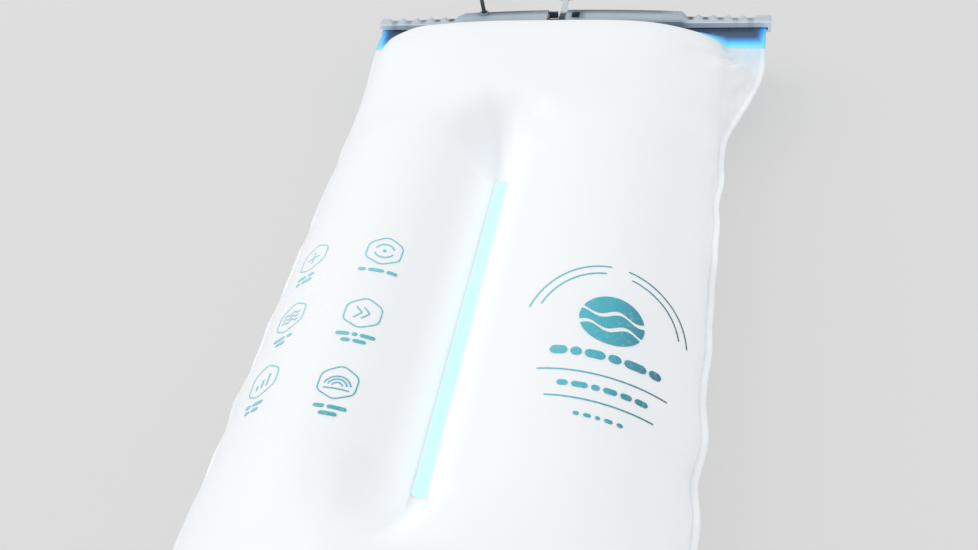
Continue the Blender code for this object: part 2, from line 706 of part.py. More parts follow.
def helix(name, r, wire, turns, length, centre, axis, mat, per=14, sides=6):
    """A compression spring as one closed tube, flat-wound at both ends."""
    bm = bmesh.new()
    n = int(turns * per)
    rings = []
    for i in range(n + 1):
        t = i / n
        a = 2 * math.pi * turns * t
        z = wire + (length - 2 * wire) * t
        c = Vector((r * math.cos(a), r * math.sin(a), z))
        er = Vector((math.cos(a), math.sin(a), 0))
        ez = Vector((0, 0, 1))
        rings.append([bm.verts.new(c + wire * (math.cos(2 * math.pi * k / sides) * er
                                               + math.sin(2 * math.pi * k / sides) * ez)) for k in range(sides)])
    for a, b in zip(rings, rings[1:]):
        for k in range(sides):
            bm.faces.new((a[k], a[(k + 1) % sides], b[(k + 1) % sides], b[k]))
    bm.faces.new(rings[0])
    bm.faces.new(rings[-1])
    if axis == 'Y':
        bmesh.ops.rotate(bm, verts=bm.verts, matrix=Matrix.Rotation(-math.pi / 2, 3, 'X'))
    return link(name, mesh_from_bm(name, bm), mat, centre)


helix("button_spring", 1.5 * MM, 0.22 * MM, 6, 7.2 * MM, (PX, PY + 7.8 * MM, ZP + 8.95 * MM), 'Y', M_STEEL, 12, 6)

revolve("valve_poppet", mm([(0.0, -0.8), (5.9, -0.8), (6.1, -0.4), (6.1, 0.5), (5.6, 0.7), (2.2, 0.7), (2.2, 6.6),
                            (1.8, 7.0), (0.0, 7.0)]), M_POM, PC, 28)
torus("poppet_seal", 4.6 * MM, 0.5 * MM, M_RUBBER, (PX, PY, ZP + 1.5 * MM), 28, 8)
helix("poppet_spring", 4.6 * MM, 0.3 * MM, 4.5, 6.6 * MM, (PX, PY, ZP - 7.8 * MM), 'Z', M_STEEL, 14, 6)
ret = revolve("spring_retainer", mm([(1.6, -8.1), (1.6, -9.3), (7.1, -9.3), (7.1, -8.1)]), M_PORT, PC, 32)
for k in range(4):
    a = math.pi / 4 + k * math.pi / 2
    t = cylinder("flow_tool", 1.15 * MM, 4 * MM, M_PORT, (PX + 4.0 * MM * math.cos(a), PY + 4.0 * MM * math.sin(a), ZP - 8.7 * MM),
                 'Z', 12)
    cut(ret, t)

bpy.context.view_layer.update()
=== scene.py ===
"""Looks for the hydration reservoir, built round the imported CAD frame."""
import math

import bmesh
import bpy
import numpy as np
from mathutils import Matrix, Vector


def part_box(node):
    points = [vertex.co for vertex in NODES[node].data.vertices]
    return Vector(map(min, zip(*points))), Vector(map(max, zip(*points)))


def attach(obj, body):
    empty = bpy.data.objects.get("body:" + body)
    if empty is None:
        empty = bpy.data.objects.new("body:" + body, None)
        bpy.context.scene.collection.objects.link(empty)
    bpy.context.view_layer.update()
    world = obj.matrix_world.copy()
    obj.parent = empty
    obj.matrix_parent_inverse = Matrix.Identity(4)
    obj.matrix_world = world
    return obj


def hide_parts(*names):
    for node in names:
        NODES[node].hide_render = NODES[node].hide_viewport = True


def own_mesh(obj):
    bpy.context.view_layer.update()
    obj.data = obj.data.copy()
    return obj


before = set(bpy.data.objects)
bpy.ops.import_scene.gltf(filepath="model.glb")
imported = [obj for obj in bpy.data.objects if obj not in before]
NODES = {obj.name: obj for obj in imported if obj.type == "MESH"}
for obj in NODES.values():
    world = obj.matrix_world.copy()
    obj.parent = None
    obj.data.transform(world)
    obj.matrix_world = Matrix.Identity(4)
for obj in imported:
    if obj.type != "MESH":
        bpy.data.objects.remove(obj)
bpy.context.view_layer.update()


# ------------------------------------------------------------------ shared shape, as in the CAD
FX, FY = -0.00025, 0.00192
YF, YT = -0.240, 0.186
YW = 0.1680
ZS, ZC = 0.0275, 0.0301
HF, HB = 0.0335, 0.0358
XB = -0.0140
YB1, YB2 = 0.0540, -0.1340
XL, XR = -0.0974, 0.0838
XT = 0.1005
FL = 0.0028
GAP, T = 0.00015, 0.0009
PZ = 0.0560
PX, PY, PR = -0.0050, -0.2060, 0.0182


def sm(t):
    t = np.clip(t, 0.0, 1.0)
    return t * t * (3 - 2 * t)


def seam_z(y):
    return ZS + (ZC - ZS) * sm((y - 0.100) / 0.080)


def bump1(v, c, w):
    return np.exp(-((v - c) / w) ** 2)


def side_wave(y, side):
    """Puckers of the side welds: outward shift in metres of the weld at height y."""
    on = sm((y + 0.215) / 0.05) * sm((0.120 - y) / 0.06)
    if side < 0:
        w = (0.55 * np.sin(y * 205 + 0.6) * np.sin(y * 47 + 1.0) + 0.35 * np.sin(y * 131 + 2.0)
             + 1.5 * bump1(y, -0.088, 0.007) - 0.9 * bump1(y, -0.072, 0.006) - 0.9 * bump1(y, -0.104, 0.007)
             - 0.8 * bump1(y, 0.010, 0.009) + 0.7 * bump1(y, 0.024, 0.007) + 0.6 * bump1(y, -0.160, 0.010))
    else:
        w = (0.55 * np.sin(y * 190 + 2.1) * np.sin(y * 39 + 0.4) + 0.35 * np.sin(y * 118 + 0.3)
             + 1.6 * bump1(y, -0.096, 0.009) - 1.3 * bump1(y, -0.118, 0.008) - 0.7 * bump1(y, -0.078, 0.006)
             - 0.8 * bump1(y, 0.040, 0.010) + 0.6 * bump1(y, 0.060, 0.008) - 0.5 * bump1(y, -0.170, 0.010))
    return 0.001 * 0.62 * w * on


def edges(y):
    xl = XL + (-XT - XL) * sm((y - 0.112) / 0.064) - side_wave(y, -1)
    xr = XR + (XT - XR) * sm((y - 0.080) / 0.074) + side_wave(y, 1)
    r = 0.045
    q = np.clip((YF + r - y) / r, 0, 1)
    k = 0.024 * (1 - np.sqrt(np.clip(1 - q * q, 0, 1)))
    return xl + k, xr - k


def bulge(y):
    r = 0.045
    q = np.clip((YF + r - y) / r, 0, 1)
    k = 0.024 * (1 - np.sqrt(np.clip(1 - q * q, 0, 1)))
    return XL + FL + k - side_wave(y, -1), XR - FL - k + side_wave(y, 1)


def crest(y, h):
    t = np.clip((YT - y) / 0.075, 0, 1)
    q = np.clip((y - YF - FL) / 0.078, 0, 1)
    return h * (1 - (1 - t) ** 2.0) ** 1.10 * (1 - (1 - q) ** 2.2) ** 0.60


def rise(y):
    return 0.0060 * sm((y - 0.100) / 0.080) * sm((YT - y) / 0.030)


def groove(y):
    return sm((YB1 + 0.036 - y) / 0.036) * sm((y - (YB2 - 0.050)) / 0.050)


def lobes(x, y):
    xl, xr = bulge(y)
    c, w = (xl + xr) / 2, (xr - xl) / 2
    v = np.clip((x - c) / w, -1, 1)
    t = sm((y - 0.090) / 0.060)
    near = np.where(v < 0, np.clip(1 - np.abs(v) ** 3.5, 0, 1) ** 0.42, np.clip(1 - np.abs(v) ** 4.5, 0, 1) ** 0.80)
    m = np.clip(1 - np.abs(v) ** 2.3, 0, 1) ** 0.52 * (1 - t) + near * t
    s = 0.0035
    u = np.where(x > XB, (x - XB - s) / (xr - XB - s), (XB - s - x) / (XB - s - xl))
    u = np.clip(u, 0, 1)
    p = np.clip(np.sin(np.pi * u ** 0.86), 0, 1) ** 0.60
    off_ = 1 - sm((YB1 + 0.004 - y) / 0.016) * sm((y - YB2 + 0.012) / 0.016)
    p = p * np.where(np.abs(x - XB) > s, np.maximum(1e-6, sm((np.abs(x - XB) - s) / 0.020)) ** (0.35 * off_), 1.0)
    p = p + 0.077 * (1 - np.abs(v) ** 6) * (1 - p)
    g = groove(y)
    return m * (1 - g) + p * g


def ridge(x, y, x0, y0, x1, y1, w, h):
    """A soft crease from (x0, y0) to (x1, y1), w wide and h high."""
    dx, dy = x1 - x0, y1 - y0
    n = math.hypot(dx, dy)
    t = ((x - x0) * dx + (y - y0) * dy) / (n * n)
    d = ((x - x0) * dy - (y - y0) * dx) / n
    wt = w * (0.7 + 0.6 * np.clip(t, 0, 1))
    return h * np.exp(-(d / wt) ** 2) * sm(t / 0.25) * sm((1 - t) / 0.55)


CREASES = [
    # closure, right corner
    (0.0985, 0.160, 0.070, 0.118, 0.0030, 0.0020), (0.0960, 0.166, 0.058, 0.126, 0.0028, -0.0016),
    (0.0990, 0.150, 0.0790, 0.103, 0.0026, -0.0020), (0.0900, 0.168, 0.044, 0.138, 0.0030, 0.0010),
    (0.0975, 0.150, 0.0850, 0.124, 0.0016, 0.0014), (0.0940, 0.163, 0.0820, 0.138, 0.0016, -0.0013),
    (0.0955, 0.132, 0.0830, 0.106, 0.0017, 0.0013), (0.0900, 0.165, 0.0790, 0.150, 0.0015, 0.0010),
    (0.0960, 0.140, 0.0800, 0.092, 0.0022, 0.0008), (0.080, 0.169, 0.030, 0.149, 0.0030, -0.0005),
    (0.0890, 0.164, 0.0720, 0.132, 0.0018, -0.0006), (0.0930, 0.152, 0.0770, 0.120, 0.0016, 0.0007),
    # closure, left corner
    (-0.0985, 0.160, -0.076, 0.116, 0.0028, 0.0008), (-0.0950, 0.166, -0.062, 0.130, 0.0028, -0.0008),
    (-0.0980, 0.148, -0.086, 0.096, 0.0024, -0.0008), (-0.086, 0.169, -0.045, 0.142, 0.0030, 0.0006),
    # baffle ends
    (XB - 0.001, 0.060, XB - 0.010, 0.102, 0.0040, -0.0010), (XB + 0.001, 0.058, XB + 0.017, 0.094, 0.0036, 0.0005),
    (XB, -0.140, XB - 0.014, -0.176, 0.0040, 0.0006), (XB, -0.140, XB + 0.012, -0.172, 0.0034, -0.0005),
]
FOOT_CREASES = [
    (-0.066, -0.226, -0.046, -0.184, 0.0030, 0.0009), (-0.046, -0.231, -0.034, -0.196, 0.0026, -0.0007),
    (0.058, -0.226, 0.040, -0.182, 0.0030, 0.0009), (0.036, -0.231, 0.026, -0.200, 0.0026, -0.0007),
    (-0.078, -0.205, -0.058, -0.168, 0.0028, -0.0007), (0.068, -0.206, 0.050, -0.166, 0.0028, -0.0007),
]


def side_pucker(x, y):
    """Short creases that run in from the side welds."""
    xl, xr = edges(y)
    out = 0.0
    on = sm((y + 0.215) / 0.04) * sm((0.135 - y) / 0.05)
    for e, s, ph in ((xl + FL, 1.0, 0.0), (xr - FL, -1.0, 1.7)):
        d = np.clip((x - e) * s, 0, None)
        fade = np.exp(-d / 0.0085) * sm(d / 0.0012)
        yy = y + 0.10 * d * np.sin(y * 61 + ph)
        k = (np.sin(yy * 232 + ph) * 0.55 + np.sin(yy * 397 + 1.3 * ph) * 0.30 + np.sin(yy * 121 + 2.2 * ph) * 0.5)
        amp = 0.45 + 0.55 * np.sin(yy * 33 + ph) ** 2
        out = out + 0.00075 * k * amp * fade
    return out * on


def creases(x, y):
    z = 0.0
    for c in CREASES:
        z = z + ridge(x, y, *c)
    for c in FOOT_CREASES:
        z = z + ridge(x, y, *c)
    # no creases under the print or at the port
    return z + side_pucker(x, y)


def skirt(x, y):
    """The film beside the filled part near the closure, drawn up by it."""
    bl, br = bulge(y)
    el, er = edges(y)
    er = er - FL
    d = np.maximum(x - br, 0.0)
    room = np.maximum(er - br, 1e-4)
    return 0.34 * np.exp(-d / 0.0075) * sm((er - x) / (0.55 * room + 0.001)) * sm(room / 0.008) * sm((x - br + 0.030) / 0.030) \
        * sm((YW + 0.006 - y) / 0.030)


def front_z(x, y):
    zs = seam_z(y)
    g = lobes(x, y)
    c = crest(y, HF) + rise(y)
    g = g + skirt(x, y) * (1 - g) ** 2
    z = zs + GAP + T + (np.maximum(c, T + GAP) - T - GAP) * g
    r = np.hypot(x - PX, y - PY)
    w = 0.0115 + 0.0135 * (1 + (y - PY) / np.maximum(r, 1e-6)) / 2
    k = 1 - sm((r - 0.0196) / w)
    free = (1 - k) * sm((z - zs - T - GAP) / 0.004) * sm((YW - y) / 0.004)
    z = z + (PZ - z) * k + creases(x, y) * free
    # pressed ring where the film is welded to the port
    z = z + 0.00035 * (bump1(r, 0.0205, 0.0011) + 0.8 * bump1(r, 0.0232, 0.0009))
    return z


def smin(a, b, k=0.006):
    h = np.clip(0.5 + 0.5 * (b - a) / k, 0, 1)
    return b * (1 - h) + a * h - k * h * (1 - h)


def back_z(x, y):
    zs = seam_z(y)
    g = lobes(x, y)
    c = crest(y, HB)
    d = T + GAP + (np.maximum(c, T + GAP) - T - GAP) * g
    d = d + creases(x, y) * sm((d - T - GAP) / 0.004) * sm((YW - y) / 0.004)
    return zs - np.where(d > 0.012, smin(d, zs), d)


def sheet_xy(nx, ny, y0, y1):
    """Parameter grid over the bulge between the side welds, closer together near them and at the baffle."""
    a = np.linspace(0, 1, nx // 2)
    a = 0.72 * (1 - np.cos(np.pi * a)) / 2 + 0.28 * a
    b = np.linspace(0, 1, ny)
    b = 0.55 * (1 - np.cos(np.pi * b)) / 2 + 0.45 * b
    ys = y0 + (y1 - y0) * b
    X = np.zeros((ny, 2 * len(a)))
    Y = np.zeros_like(X)
    for i, y in enumerate(ys):
        xl, xr = edges(np.array(y))
        xl, xr = float(xl) + FL, float(xr) - FL
        s = 0.0035
        X[i, :len(a)] = xl + (XB - s - xl) * a
        X[i, len(a):] = XB + s + (xr - XB - s) * a
        Y[i] = y
    return X, Y


def mesh_object(name, verts, faces, mat, body, smooth=True):
    me = bpy.data.meshes.new(name)
    me.from_pydata([tuple(v) for v in verts], [], faces)
    me.validate()
    me.update()
    if smooth:
        me.polygons.foreach_set("use_smooth", [True] * len(me.polygons))
    me.materials.append(mat)
    ob = bpy.data.objects.new(name, me)
    bpy.context.scene.collection.objects.link(ob)
    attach(ob, body)
    return ob


def attribute(ob, name, values):
    a = ob.data.attributes.new(name, 'FLOAT', 'POINT')
    a.data.foreach_set("value", np.asarray(values, dtype=np.float32))


# ------------------------------------------------------------------ material helpers
class Nodes:
    def __init__(self, name):
        self.m = bpy.data.materials.new(name)
        self.m.use_nodes = True
        self.t = self.m.node_tree
        self.b = self.t.nodes["Principled BSDF"]
        self.coord = self.t.nodes.new("ShaderNodeTexCoord")

    def set(self, **kw):
        for k, v in kw.items():
            self.b.inputs[k.replace("_", " ")].default_value = v
        return self

    def add(self, kind, **inputs):
        n = self.t.nodes.new(kind)
        for k, v in inputs.items():
            if k.startswith("p_"):
                setattr(n, k[2:], v)
        for k, v in inputs.items():
            if not k.startswith("p_"):
                self.plug(v, n.inputs[k.replace("_", " ")] if isinstance(k, str) else n.inputs[k])
        return n

    def plug(self, v, socket):
        if isinstance(v, bpy.types.NodeSocket):
            self.t.links.new(v, socket)
        else:
            socket.default_value = v

    def math(self, op, a, b=0.0, c=None, clamp=False):
        n = self.t.nodes.new("ShaderNodeMath")
        n.operation = op
        n.use_clamp = clamp
        self.plug(a, n.inputs[0])
        self.plug(b, n.inputs[1])
        if c is not None:
            self.plug(c, n.inputs[2])
        return n.outputs[0]

    def obj(self, scale=(1, 1, 1)):
        n = self.t.nodes.new("ShaderNodeMapping")
        n.inputs["Scale"].default_value = scale
        self.t.links.new(self.coord.outputs["Object"], n.inputs["Vector"])
        return n.outputs[0]

    def noise(self, scale, detail=2.0, rough=0.5, vector=None, stretch=(1, 1, 1)):
        n = self.t.nodes.new("ShaderNodeTexNoise")
        n.inputs["Scale"].default_value = scale
        n.inputs["Detail"].default_value = detail
        n.inputs["Roughness"].default_value = rough
        self.t.links.new(vector or self.obj(stretch), n.inputs["Vector"])
        return n.outputs["Fac"]

    def ramp(self, fac, stops, interp='LINEAR'):
        n = self.t.nodes.new("ShaderNodeValToRGB")
        n.color_ramp.interpolation = interp
        el = n.color_ramp.elements
        while len(el) < len(stops):
            el.new(0.5)
        for e, (p, c) in zip(el, stops):
            e.position = p
            e.color = (*c, 1.0) if len(c) == 3 else c
        self.plug(fac, n.inputs["Fac"])
        return n.outputs["Color"]

    def mix(self, fac, a, b, blend='MIX'):
        n = self.t.nodes.new("ShaderNodeMix")
        n.data_type = 'RGBA'
        n.blend_type = blend
        self.plug(fac, n.inputs["Factor"])
        self.plug(a if isinstance(a, bpy.types.NodeSocket) or len(a) == 4 else (*a, 1.0), n.inputs[6])
        self.plug(b if isinstance(b, bpy.types.NodeSocket) or len(b) == 4 else (*b, 1.0), n.inputs[7])
        return n.outputs[2]

    def remap(self, v, a, b, c, d):
        n = self.t.nodes.new("ShaderNodeMapRange")
        self.plug(v, n.inputs["Value"])
        n.inputs["From Min"].default_value = a
        n.inputs["From Max"].default_value = b
        n.inputs["To Min"].default_value = c
        n.inputs["To Max"].default_value = d
        return n.outputs["Result"]

    def attr(self, name):
        n = self.t.nodes.new("ShaderNodeAttribute")
        n.attribute_name = name
        return n.outputs["Fac"]

    def xyz(self):
        n = self.t.nodes.new("ShaderNodeSeparateXYZ")
        self.t.links.new(self.coord.outputs["Object"], n.inputs[0])
        return n.outputs

    def bump(self, height, strength, distance=0.001, prev=None):
        n = self.t.nodes.new("ShaderNodeBump")
        n.inputs["Strength"].default_value = strength
        n.inputs["Distance"].default_value = distance
        self.plug(height, n.inputs["Height"])
        if prev is not None:
            self.plug(prev, n.inputs["Normal"])
        self.t.links.new(n.outputs["Normal"], self.b.inputs["Normal"])
        return n.outputs["Normal"]

    def link(self, out, name):
        self.t.links.new(out, self.b.inputs[name])
        return self


def film_material(name, white, thin):
    """Frosted film: milky where water backs it, greyer and clearer where the two sheets lie together."""
    n = Nodes(name)
    fill = n.attr("fill")
    mott = n.noise(9.0, 3.0, 0.55)
    cloud = n.noise(38.0, 4.0, 0.6)
    col = n.mix(n.remap(mott, 0.35, 0.7, 0.0, 1.0), white, tuple(c * f for c, f in zip(white, (0.985, 0.992, 1.0))))
    streak = n.noise(60.0, 5.0, 0.65, stretch=(1.0, 0.35, 1.0))
    thin_c = n.mix(n.remap(streak, 0.42, 0.66, 0.0, 1.0), thin, tuple(min(1.0, c * 1.16) for c in thin))
    col = n.mix(fill, thin_c, col)
    ct = n.math('MULTIPLY', n.attr("tint"), n.remap(n.noise(34.0, 3.0, 0.6, stretch=(1.0, 0.6, 1.0)), 0.40, 0.62, 0.15, 1.0))
    col = n.mix(ct, col, (0.66, 0.79, 0.90))
    n.link(col, "Base Color")
    rough = n.remap(cloud, 0.3, 0.7, 0.34, 0.46)
    n.link(rough, "Roughness")
    fine = n.noise(900.0, 3.0, 0.6)
    h = n.math('ADD', n.math('MULTIPLY', fine, 0.25), n.math('MULTIPLY', cloud, 0.5))
    n.bump(h, 0.10, 0.0006)
    n.set(IOR=1.5)
    n.b.inputs["Subsurface Weight"].default_value = 0.12
    n.b.inputs["Subsurface Radius"].default_value = (0.012, 0.013, 0.015)
    n.b.inputs["Subsurface Scale"].default_value = 0.6
    # painted glow: emission lifts the groove beside the baffle weld, the right edge and the side welds out of their
    # shade
    glow = n.mix(n.attr("painted_glow"), (0.0, 0.0, 0.0), (1.0, 0.99, 0.97))
    n.link(glow, "Emission Color")
    n.b.inputs["Emission Strength"].default_value = 0.20
    return n.m


M_FILM = film_material("film_white_look", (0.93, 0.945, 0.96), (0.83, 0.85, 0.875))
M_FILMB = film_material("film_back_look", (0.90, 0.92, 0.94), (0.68, 0.71, 0.74))


def strip_material():
    n = Nodes("weld_aqua_look")
    ns = n.noise(26.0, 3.0, 0.5, stretch=(1, 0.4, 1))
    col = n.mix(n.remap(ns, 0.35, 0.7, 0, 1), (0.60, 0.935, 0.99), (0.67, 0.955, 1.0))
    edge = n.attr("edge")
    col = n.mix(edge, col, (0.80, 0.965, 0.99))
    n.link(col, "Base Color")
    n.link(n.remap(ns, 0.3, 0.7, 0.30, 0.42), "Roughness")
    # painted glow: the strip's colour is also emitted, lifting it out of the groove's shade
    n.link(col, "Emission Color")
    n.b.inputs["Emission Strength"].default_value = 0.13
    w = n.add("ShaderNodeTexWave", p_wave_type='BANDS', p_bands_direction='Y', Scale=330.0, Distortion=0.0, Vector=n.obj())
    n.bump(w.outputs["Fac"], 0.05, 0.0003)
    return n.m


def band_material(name, k=1.0):
    """Translucent blue: painted light where the light comes through at its free edges, painted navy shade under the
    slider, and a faint painted glow.
    """
    n = Nodes(name)
    d = n.attr("edge_mm")
    wob = n.math('MULTIPLY', n.math('SUBTRACT', n.noise(45.0, 2.0), 0.5), 1.6)
    d = n.math('ADD', d, wob)
    f = n.math('DIVIDE', d, 20.0, clamp=True)
    # painted light and shade: cyan where light comes through the free edge, navy where the slider shades the band
    col = n.ramp(f, [(0.0, (0.26, 0.80, 1.0)), (0.20, (0.10, 0.66, 0.98)), (0.38, (0.018, 0.27, 0.76)),
                     (0.54, (0.012, 0.055, 0.145)), (0.80, (0.010, 0.036, 0.085)), (1.0, (0.010, 0.030, 0.07))])
    n.link(col, "Base Color")
    n.link(n.remap(n.noise(120.0, 3.0), 0.3, 0.7, 0.20, 0.34), "Roughness")
    fine = n.noise(500.0, 2.0)
    n.bump(fine, 0.08, 0.0004)
    # painted glow: the band's colour is also emitted
    n.link(col, "Emission Color")
    n.b.inputs["Emission Strength"].default_value = 0.10
    n.set(IOR=1.5)
    n.b.inputs["Coat Weight"].default_value = 0.15
    n.b.inputs["Coat Roughness"].default_value = 0.15
    return n.m


def plastic(name, colour, rough, mottle=0.06, grain=420.0, depth=0.10, metal=0.0, wear=0.0, tint=None):
    """Moulded plastic: slight mottling, a fine spark-eroded grain and paler rubbed edges."""
    n = Nodes(name)
    ns = n.noise(70.0, 3.0, 0.55)
    lo = tuple(c * (1 - mottle) for c in colour)
    hi = tuple(min(1.0, c * (1 + mottle)) for c in colour)
    col = n.mix(n.remap(ns, 0.3, 0.7, 0, 1), lo, hi)
    if wear:
        g = n.add("ShaderNodeNewGeometry")
        e = n.remap(g.outputs["Pointiness"], 0.52, 0.62, 0.0, wear)
        sc = n.noise(260.0, 4.0, 0.7)
        col = n.mix(n.math('MULTIPLY', e, n.remap(sc, 0.35, 0.6, 0.0, 1.0), clamp=True), col, tint or (0.7, 0.75, 0.8))
    n.link(col, "Base Color")
    n.link(n.remap(ns, 0.3, 0.7, rough - 0.05, rough + 0.06), "Roughness")
    n.set(Metallic=metal)
    n.bump(n.noise(grain * 3, 2.0, 0.5), depth, 0.0003)
    return n.m


def slider_material():
    n = Nodes("slider_grey_look")
    ns = n.noise(60.0, 3.0, 0.55)
    col = n.mix(n.remap(ns, 0.3, 0.7, 0, 1), (0.355, 0.425, 0.475), (0.395, 0.465, 0.515))
    x, y, z = n.xyz()
    # darker ridge along the middle of the back's top edge
    xx = n.math('DIVIDE', n.math('SUBTRACT', x, FX), 0.086)
    ax = n.math('ABSOLUTE', n.math('SUBTRACT', x, FX))
    dep = n.math('MULTIPLY_ADD', n.math('MULTIPLY', xx, xx), -0.0034, 0.0102)
    dep = n.math('ADD', dep, n.remap(ax, 0.0570, 0.0600, 0.0018, 0.0))
    back = n.math('SUBTRACT', n.math('ADD', dep, 0.1886 + FY), y)        # distance in from the back face
    m1 = n.remap(back, 0.0028, 0.0062, 1.0, 0.0)
    m2 = n.remap(n.math('ABSOLUTE', n.math('SUBTRACT', x, FX)), 0.046, 0.056, 1.0, 0.0)
    dark = n.math('MULTIPLY', m1, n.math('MAXIMUM', m2, 0.25))
    col = n.mix(dark, col, (0.115, 0.140, 0.150))

    def window(v, a, b, e=0.0003):
        return n.math('MULTIPLY', n.remap(v, a - e, a + e, 0.0, 1.0), n.remap(v, b - e, b + e, 1.0, 0.0))
    # painted shade in the pocket round the hanger and in the slit beside it
    pit_shade = n.math('MULTIPLY', window(x, FX - 0.0122, FX - 0.0022), window(y, FY + 0.1886, FY + 0.2012))
    slit_shade = n.math('MULTIPLY', window(x, FX + 0.0004, FX + 0.0066, 0.0022), window(y, FY + 0.1900, FY + 0.1985, 0.0010))
    col = n.mix(slit_shade, col, (0.075, 0.105, 0.125))
    col = n.mix(pit_shade, col, (0.030, 0.034, 0.038))
    # painted shade in the finger grips, deeper towards the middle
    ph = n.math('DIVIDE', n.math('SUBTRACT', n.math('SUBTRACT', ax, 0.0622), n.remap(x, -0.001, 0.001, 0.0018, 0.0)), 0.0076)
    fr = n.math('ABSOLUTE', n.math('SUBTRACT', ph, n.math('ROUND', ph)))
    grip_shade = n.math('MULTIPLY', n.remap(fr, 0.10, 0.30, 1.0, 0.0), window(ph, -0.5, 4.5, 0.05))
    grip_shade = n.math('MULTIPLY', grip_shade, n.remap(back, 0.0046, 0.0070, 1.0, 0.0))
    grip_shade = n.math('MULTIPLY', grip_shade, n.remap(ph, 0.0, 4.0, 1.0, 0.55))
    g = n.add("ShaderNodeNewGeometry")
    e = n.remap(g.outputs["Pointiness"], 0.52, 0.60, 0.0, 0.5)
    sc = n.noise(240.0, 4.0, 0.7)
    col = n.mix(n.math('MULTIPLY', e, n.remap(sc, 0.35, 0.6, 0.2, 1.0), clamp=True), col, (0.50, 0.57, 0.62))
    ends = n.remap(ax, 0.0580, 0.0640, 0.0, 0.85)
    col = n.mix(ends, col, (0.53, 0.59, 0.66))
    lip = n.math('MULTIPLY', ends, n.remap(y, FY + 0.1888, FY + 0.1896, 1.0, 0.0))
    col = n.mix(lip, col, (0.80, 0.86, 0.92))
    # painted shade of the finger grips, laid over the worn edges
    col = n.mix(grip_shade, col, (0.040, 0.048, 0.054))
    n.link(col, "Base Color")
    n.link(n.remap(ns, 0.3, 0.7, 0.32, 0.42), "Roughness")
    n.bump(n.noise(1500.0, 2.0, 0.5), 0.08, 0.0003)
    return n.m


def cord_material():
    n = Nodes("cord_dark_look")
    v = n.obj()
    a = n.add("ShaderNodeTexWave", p_wave_type='BANDS', p_bands_direction='DIAGONAL', Scale=640.0, Distortion=1.2, Vector=v)
    b = n.add("ShaderNodeTexVoronoi", Scale=1300.0, Vector=v)
    h = n.math('ADD', a.outputs["Fac"], b.outputs["Distance"])
    col = n.mix(n.remap(h, 0.3, 1.3, 0, 1), (0.022, 0.026, 0.03), (0.085, 0.095, 0.105))
    n.link(col, "Base Color")
    n.set(Roughness=0.78)
    n.b.inputs["Sheen Weight"].default_value = 0.25
    n.b.inputs["Sheen Roughness"].default_value = 0.4
    n.bump(h, 0.45, 0.0004)
    return n.m


def rubber():
    n = Nodes("seal_black_look")
    ns = n.noise(300.0, 3.0)
    n.link(n.mix(n.remap(ns, 0.3, 0.7, 0, 1), (0.022, 0.022, 0.025), (0.045, 0.045, 0.05)), "Base Color")
    n.link(n.remap(ns, 0.3, 0.7, 0.6, 0.75), "Roughness")
    n.bump(n.noise(1400.0, 2.0), 0.12, 0.0002)
    return n.m


def steel():
    n = Nodes("spring_steel_look")
    br = n.noise(200.0, 3.0, 0.6, stretch=(1, 14, 1))
    n.link(n.mix(n.remap(br, 0.3, 0.7, 0, 1), (0.60, 0.61, 0.63), (0.76, 0.77, 0.78)), "Base Color")
    n.link(n.remap(br, 0.3, 0.7, 0.20, 0.36), "Roughness")
    n.set(Metallic=1.0)
    n.bump(br, 0.06, 0.0002)
    return n.m


M_STRIP = strip_material()
M_BAND = band_material("band_blue_look")
M_SLIDER = slider_material()
M_CORD = cord_material()
M_RUBBER = rubber()
M_STEEL = steel()


def hanger_material():
    n = Nodes("hanger_grey_look")
    ns = n.noise(80.0, 3.0, 0.55)
    col = n.mix(n.remap(ns, 0.3, 0.7, 0, 1), (0.54, 0.58, 0.62), (0.62, 0.66, 0.70))
    x, y, z = n.xyz()
    # painted shadow: the hanger's eye, down in the slider's pocket, goes near black
    col = n.mix(n.remap(y, FY + 0.1980 + 0.0024, FY + 0.1980 + 0.0044, 1.0, 0.0), col, (0.026, 0.029, 0.032))
    n.link(col, "Base Color")
    n.link(n.remap(ns, 0.3, 0.7, 0.32, 0.44), "Roughness")
    n.bump(n.noise(1300.0, 2.0, 0.5), 0.08, 0.0003)
    return n.m


M_HANGER = hanger_material()
M_TOGGLE = plastic("toggle_dark_look", (0.06, 0.068, 0.075), 0.45, wear=0.5, tint=(0.2, 0.21, 0.22))
M_PORTW = plastic("port_white_look", (0.80, 0.84, 0.87), 0.36, mottle=0.02)
M_PORTG = plastic("port_grey_look", (0.36, 0.44, 0.50), 0.36, wear=0.5)
M_BUTTON = plastic("button_blue_look", (0.03, 0.30, 0.66), 0.30, wear=0.4, tint=(0.35, 0.6, 0.85))
M_VALVE = plastic("valve_white_look", (0.84, 0.84, 0.82), 0.34, mottle=0.02)

LOOK = {
    "slider_body": M_SLIDER, "hanger": M_HANGER, "hanger_pin": M_STEEL, "cord_toggle": M_TOGGLE,
    "port_flange": M_PORTW, "port_body": M_PORTG, "port_gasket": M_RUBBER, "socket_o_ring": M_RUBBER,
    "spring_retainer": M_PORTW, "poppet_spring": M_STEEL, "button_spring": M_STEEL, "release_button": M_BUTTON,
    "latch_plate": M_STEEL, "valve_poppet": M_VALVE, "poppet_seal": M_RUBBER,
    "front_baffle_rail": M_STRIP, "back_baffle_rail": M_STRIP,
}
for name, mat in LOOK.items():
    o = NODES[name]
    if o.material_slots:
        for s in o.material_slots:
            s.material = mat
    else:
        o.data.materials.append(mat)
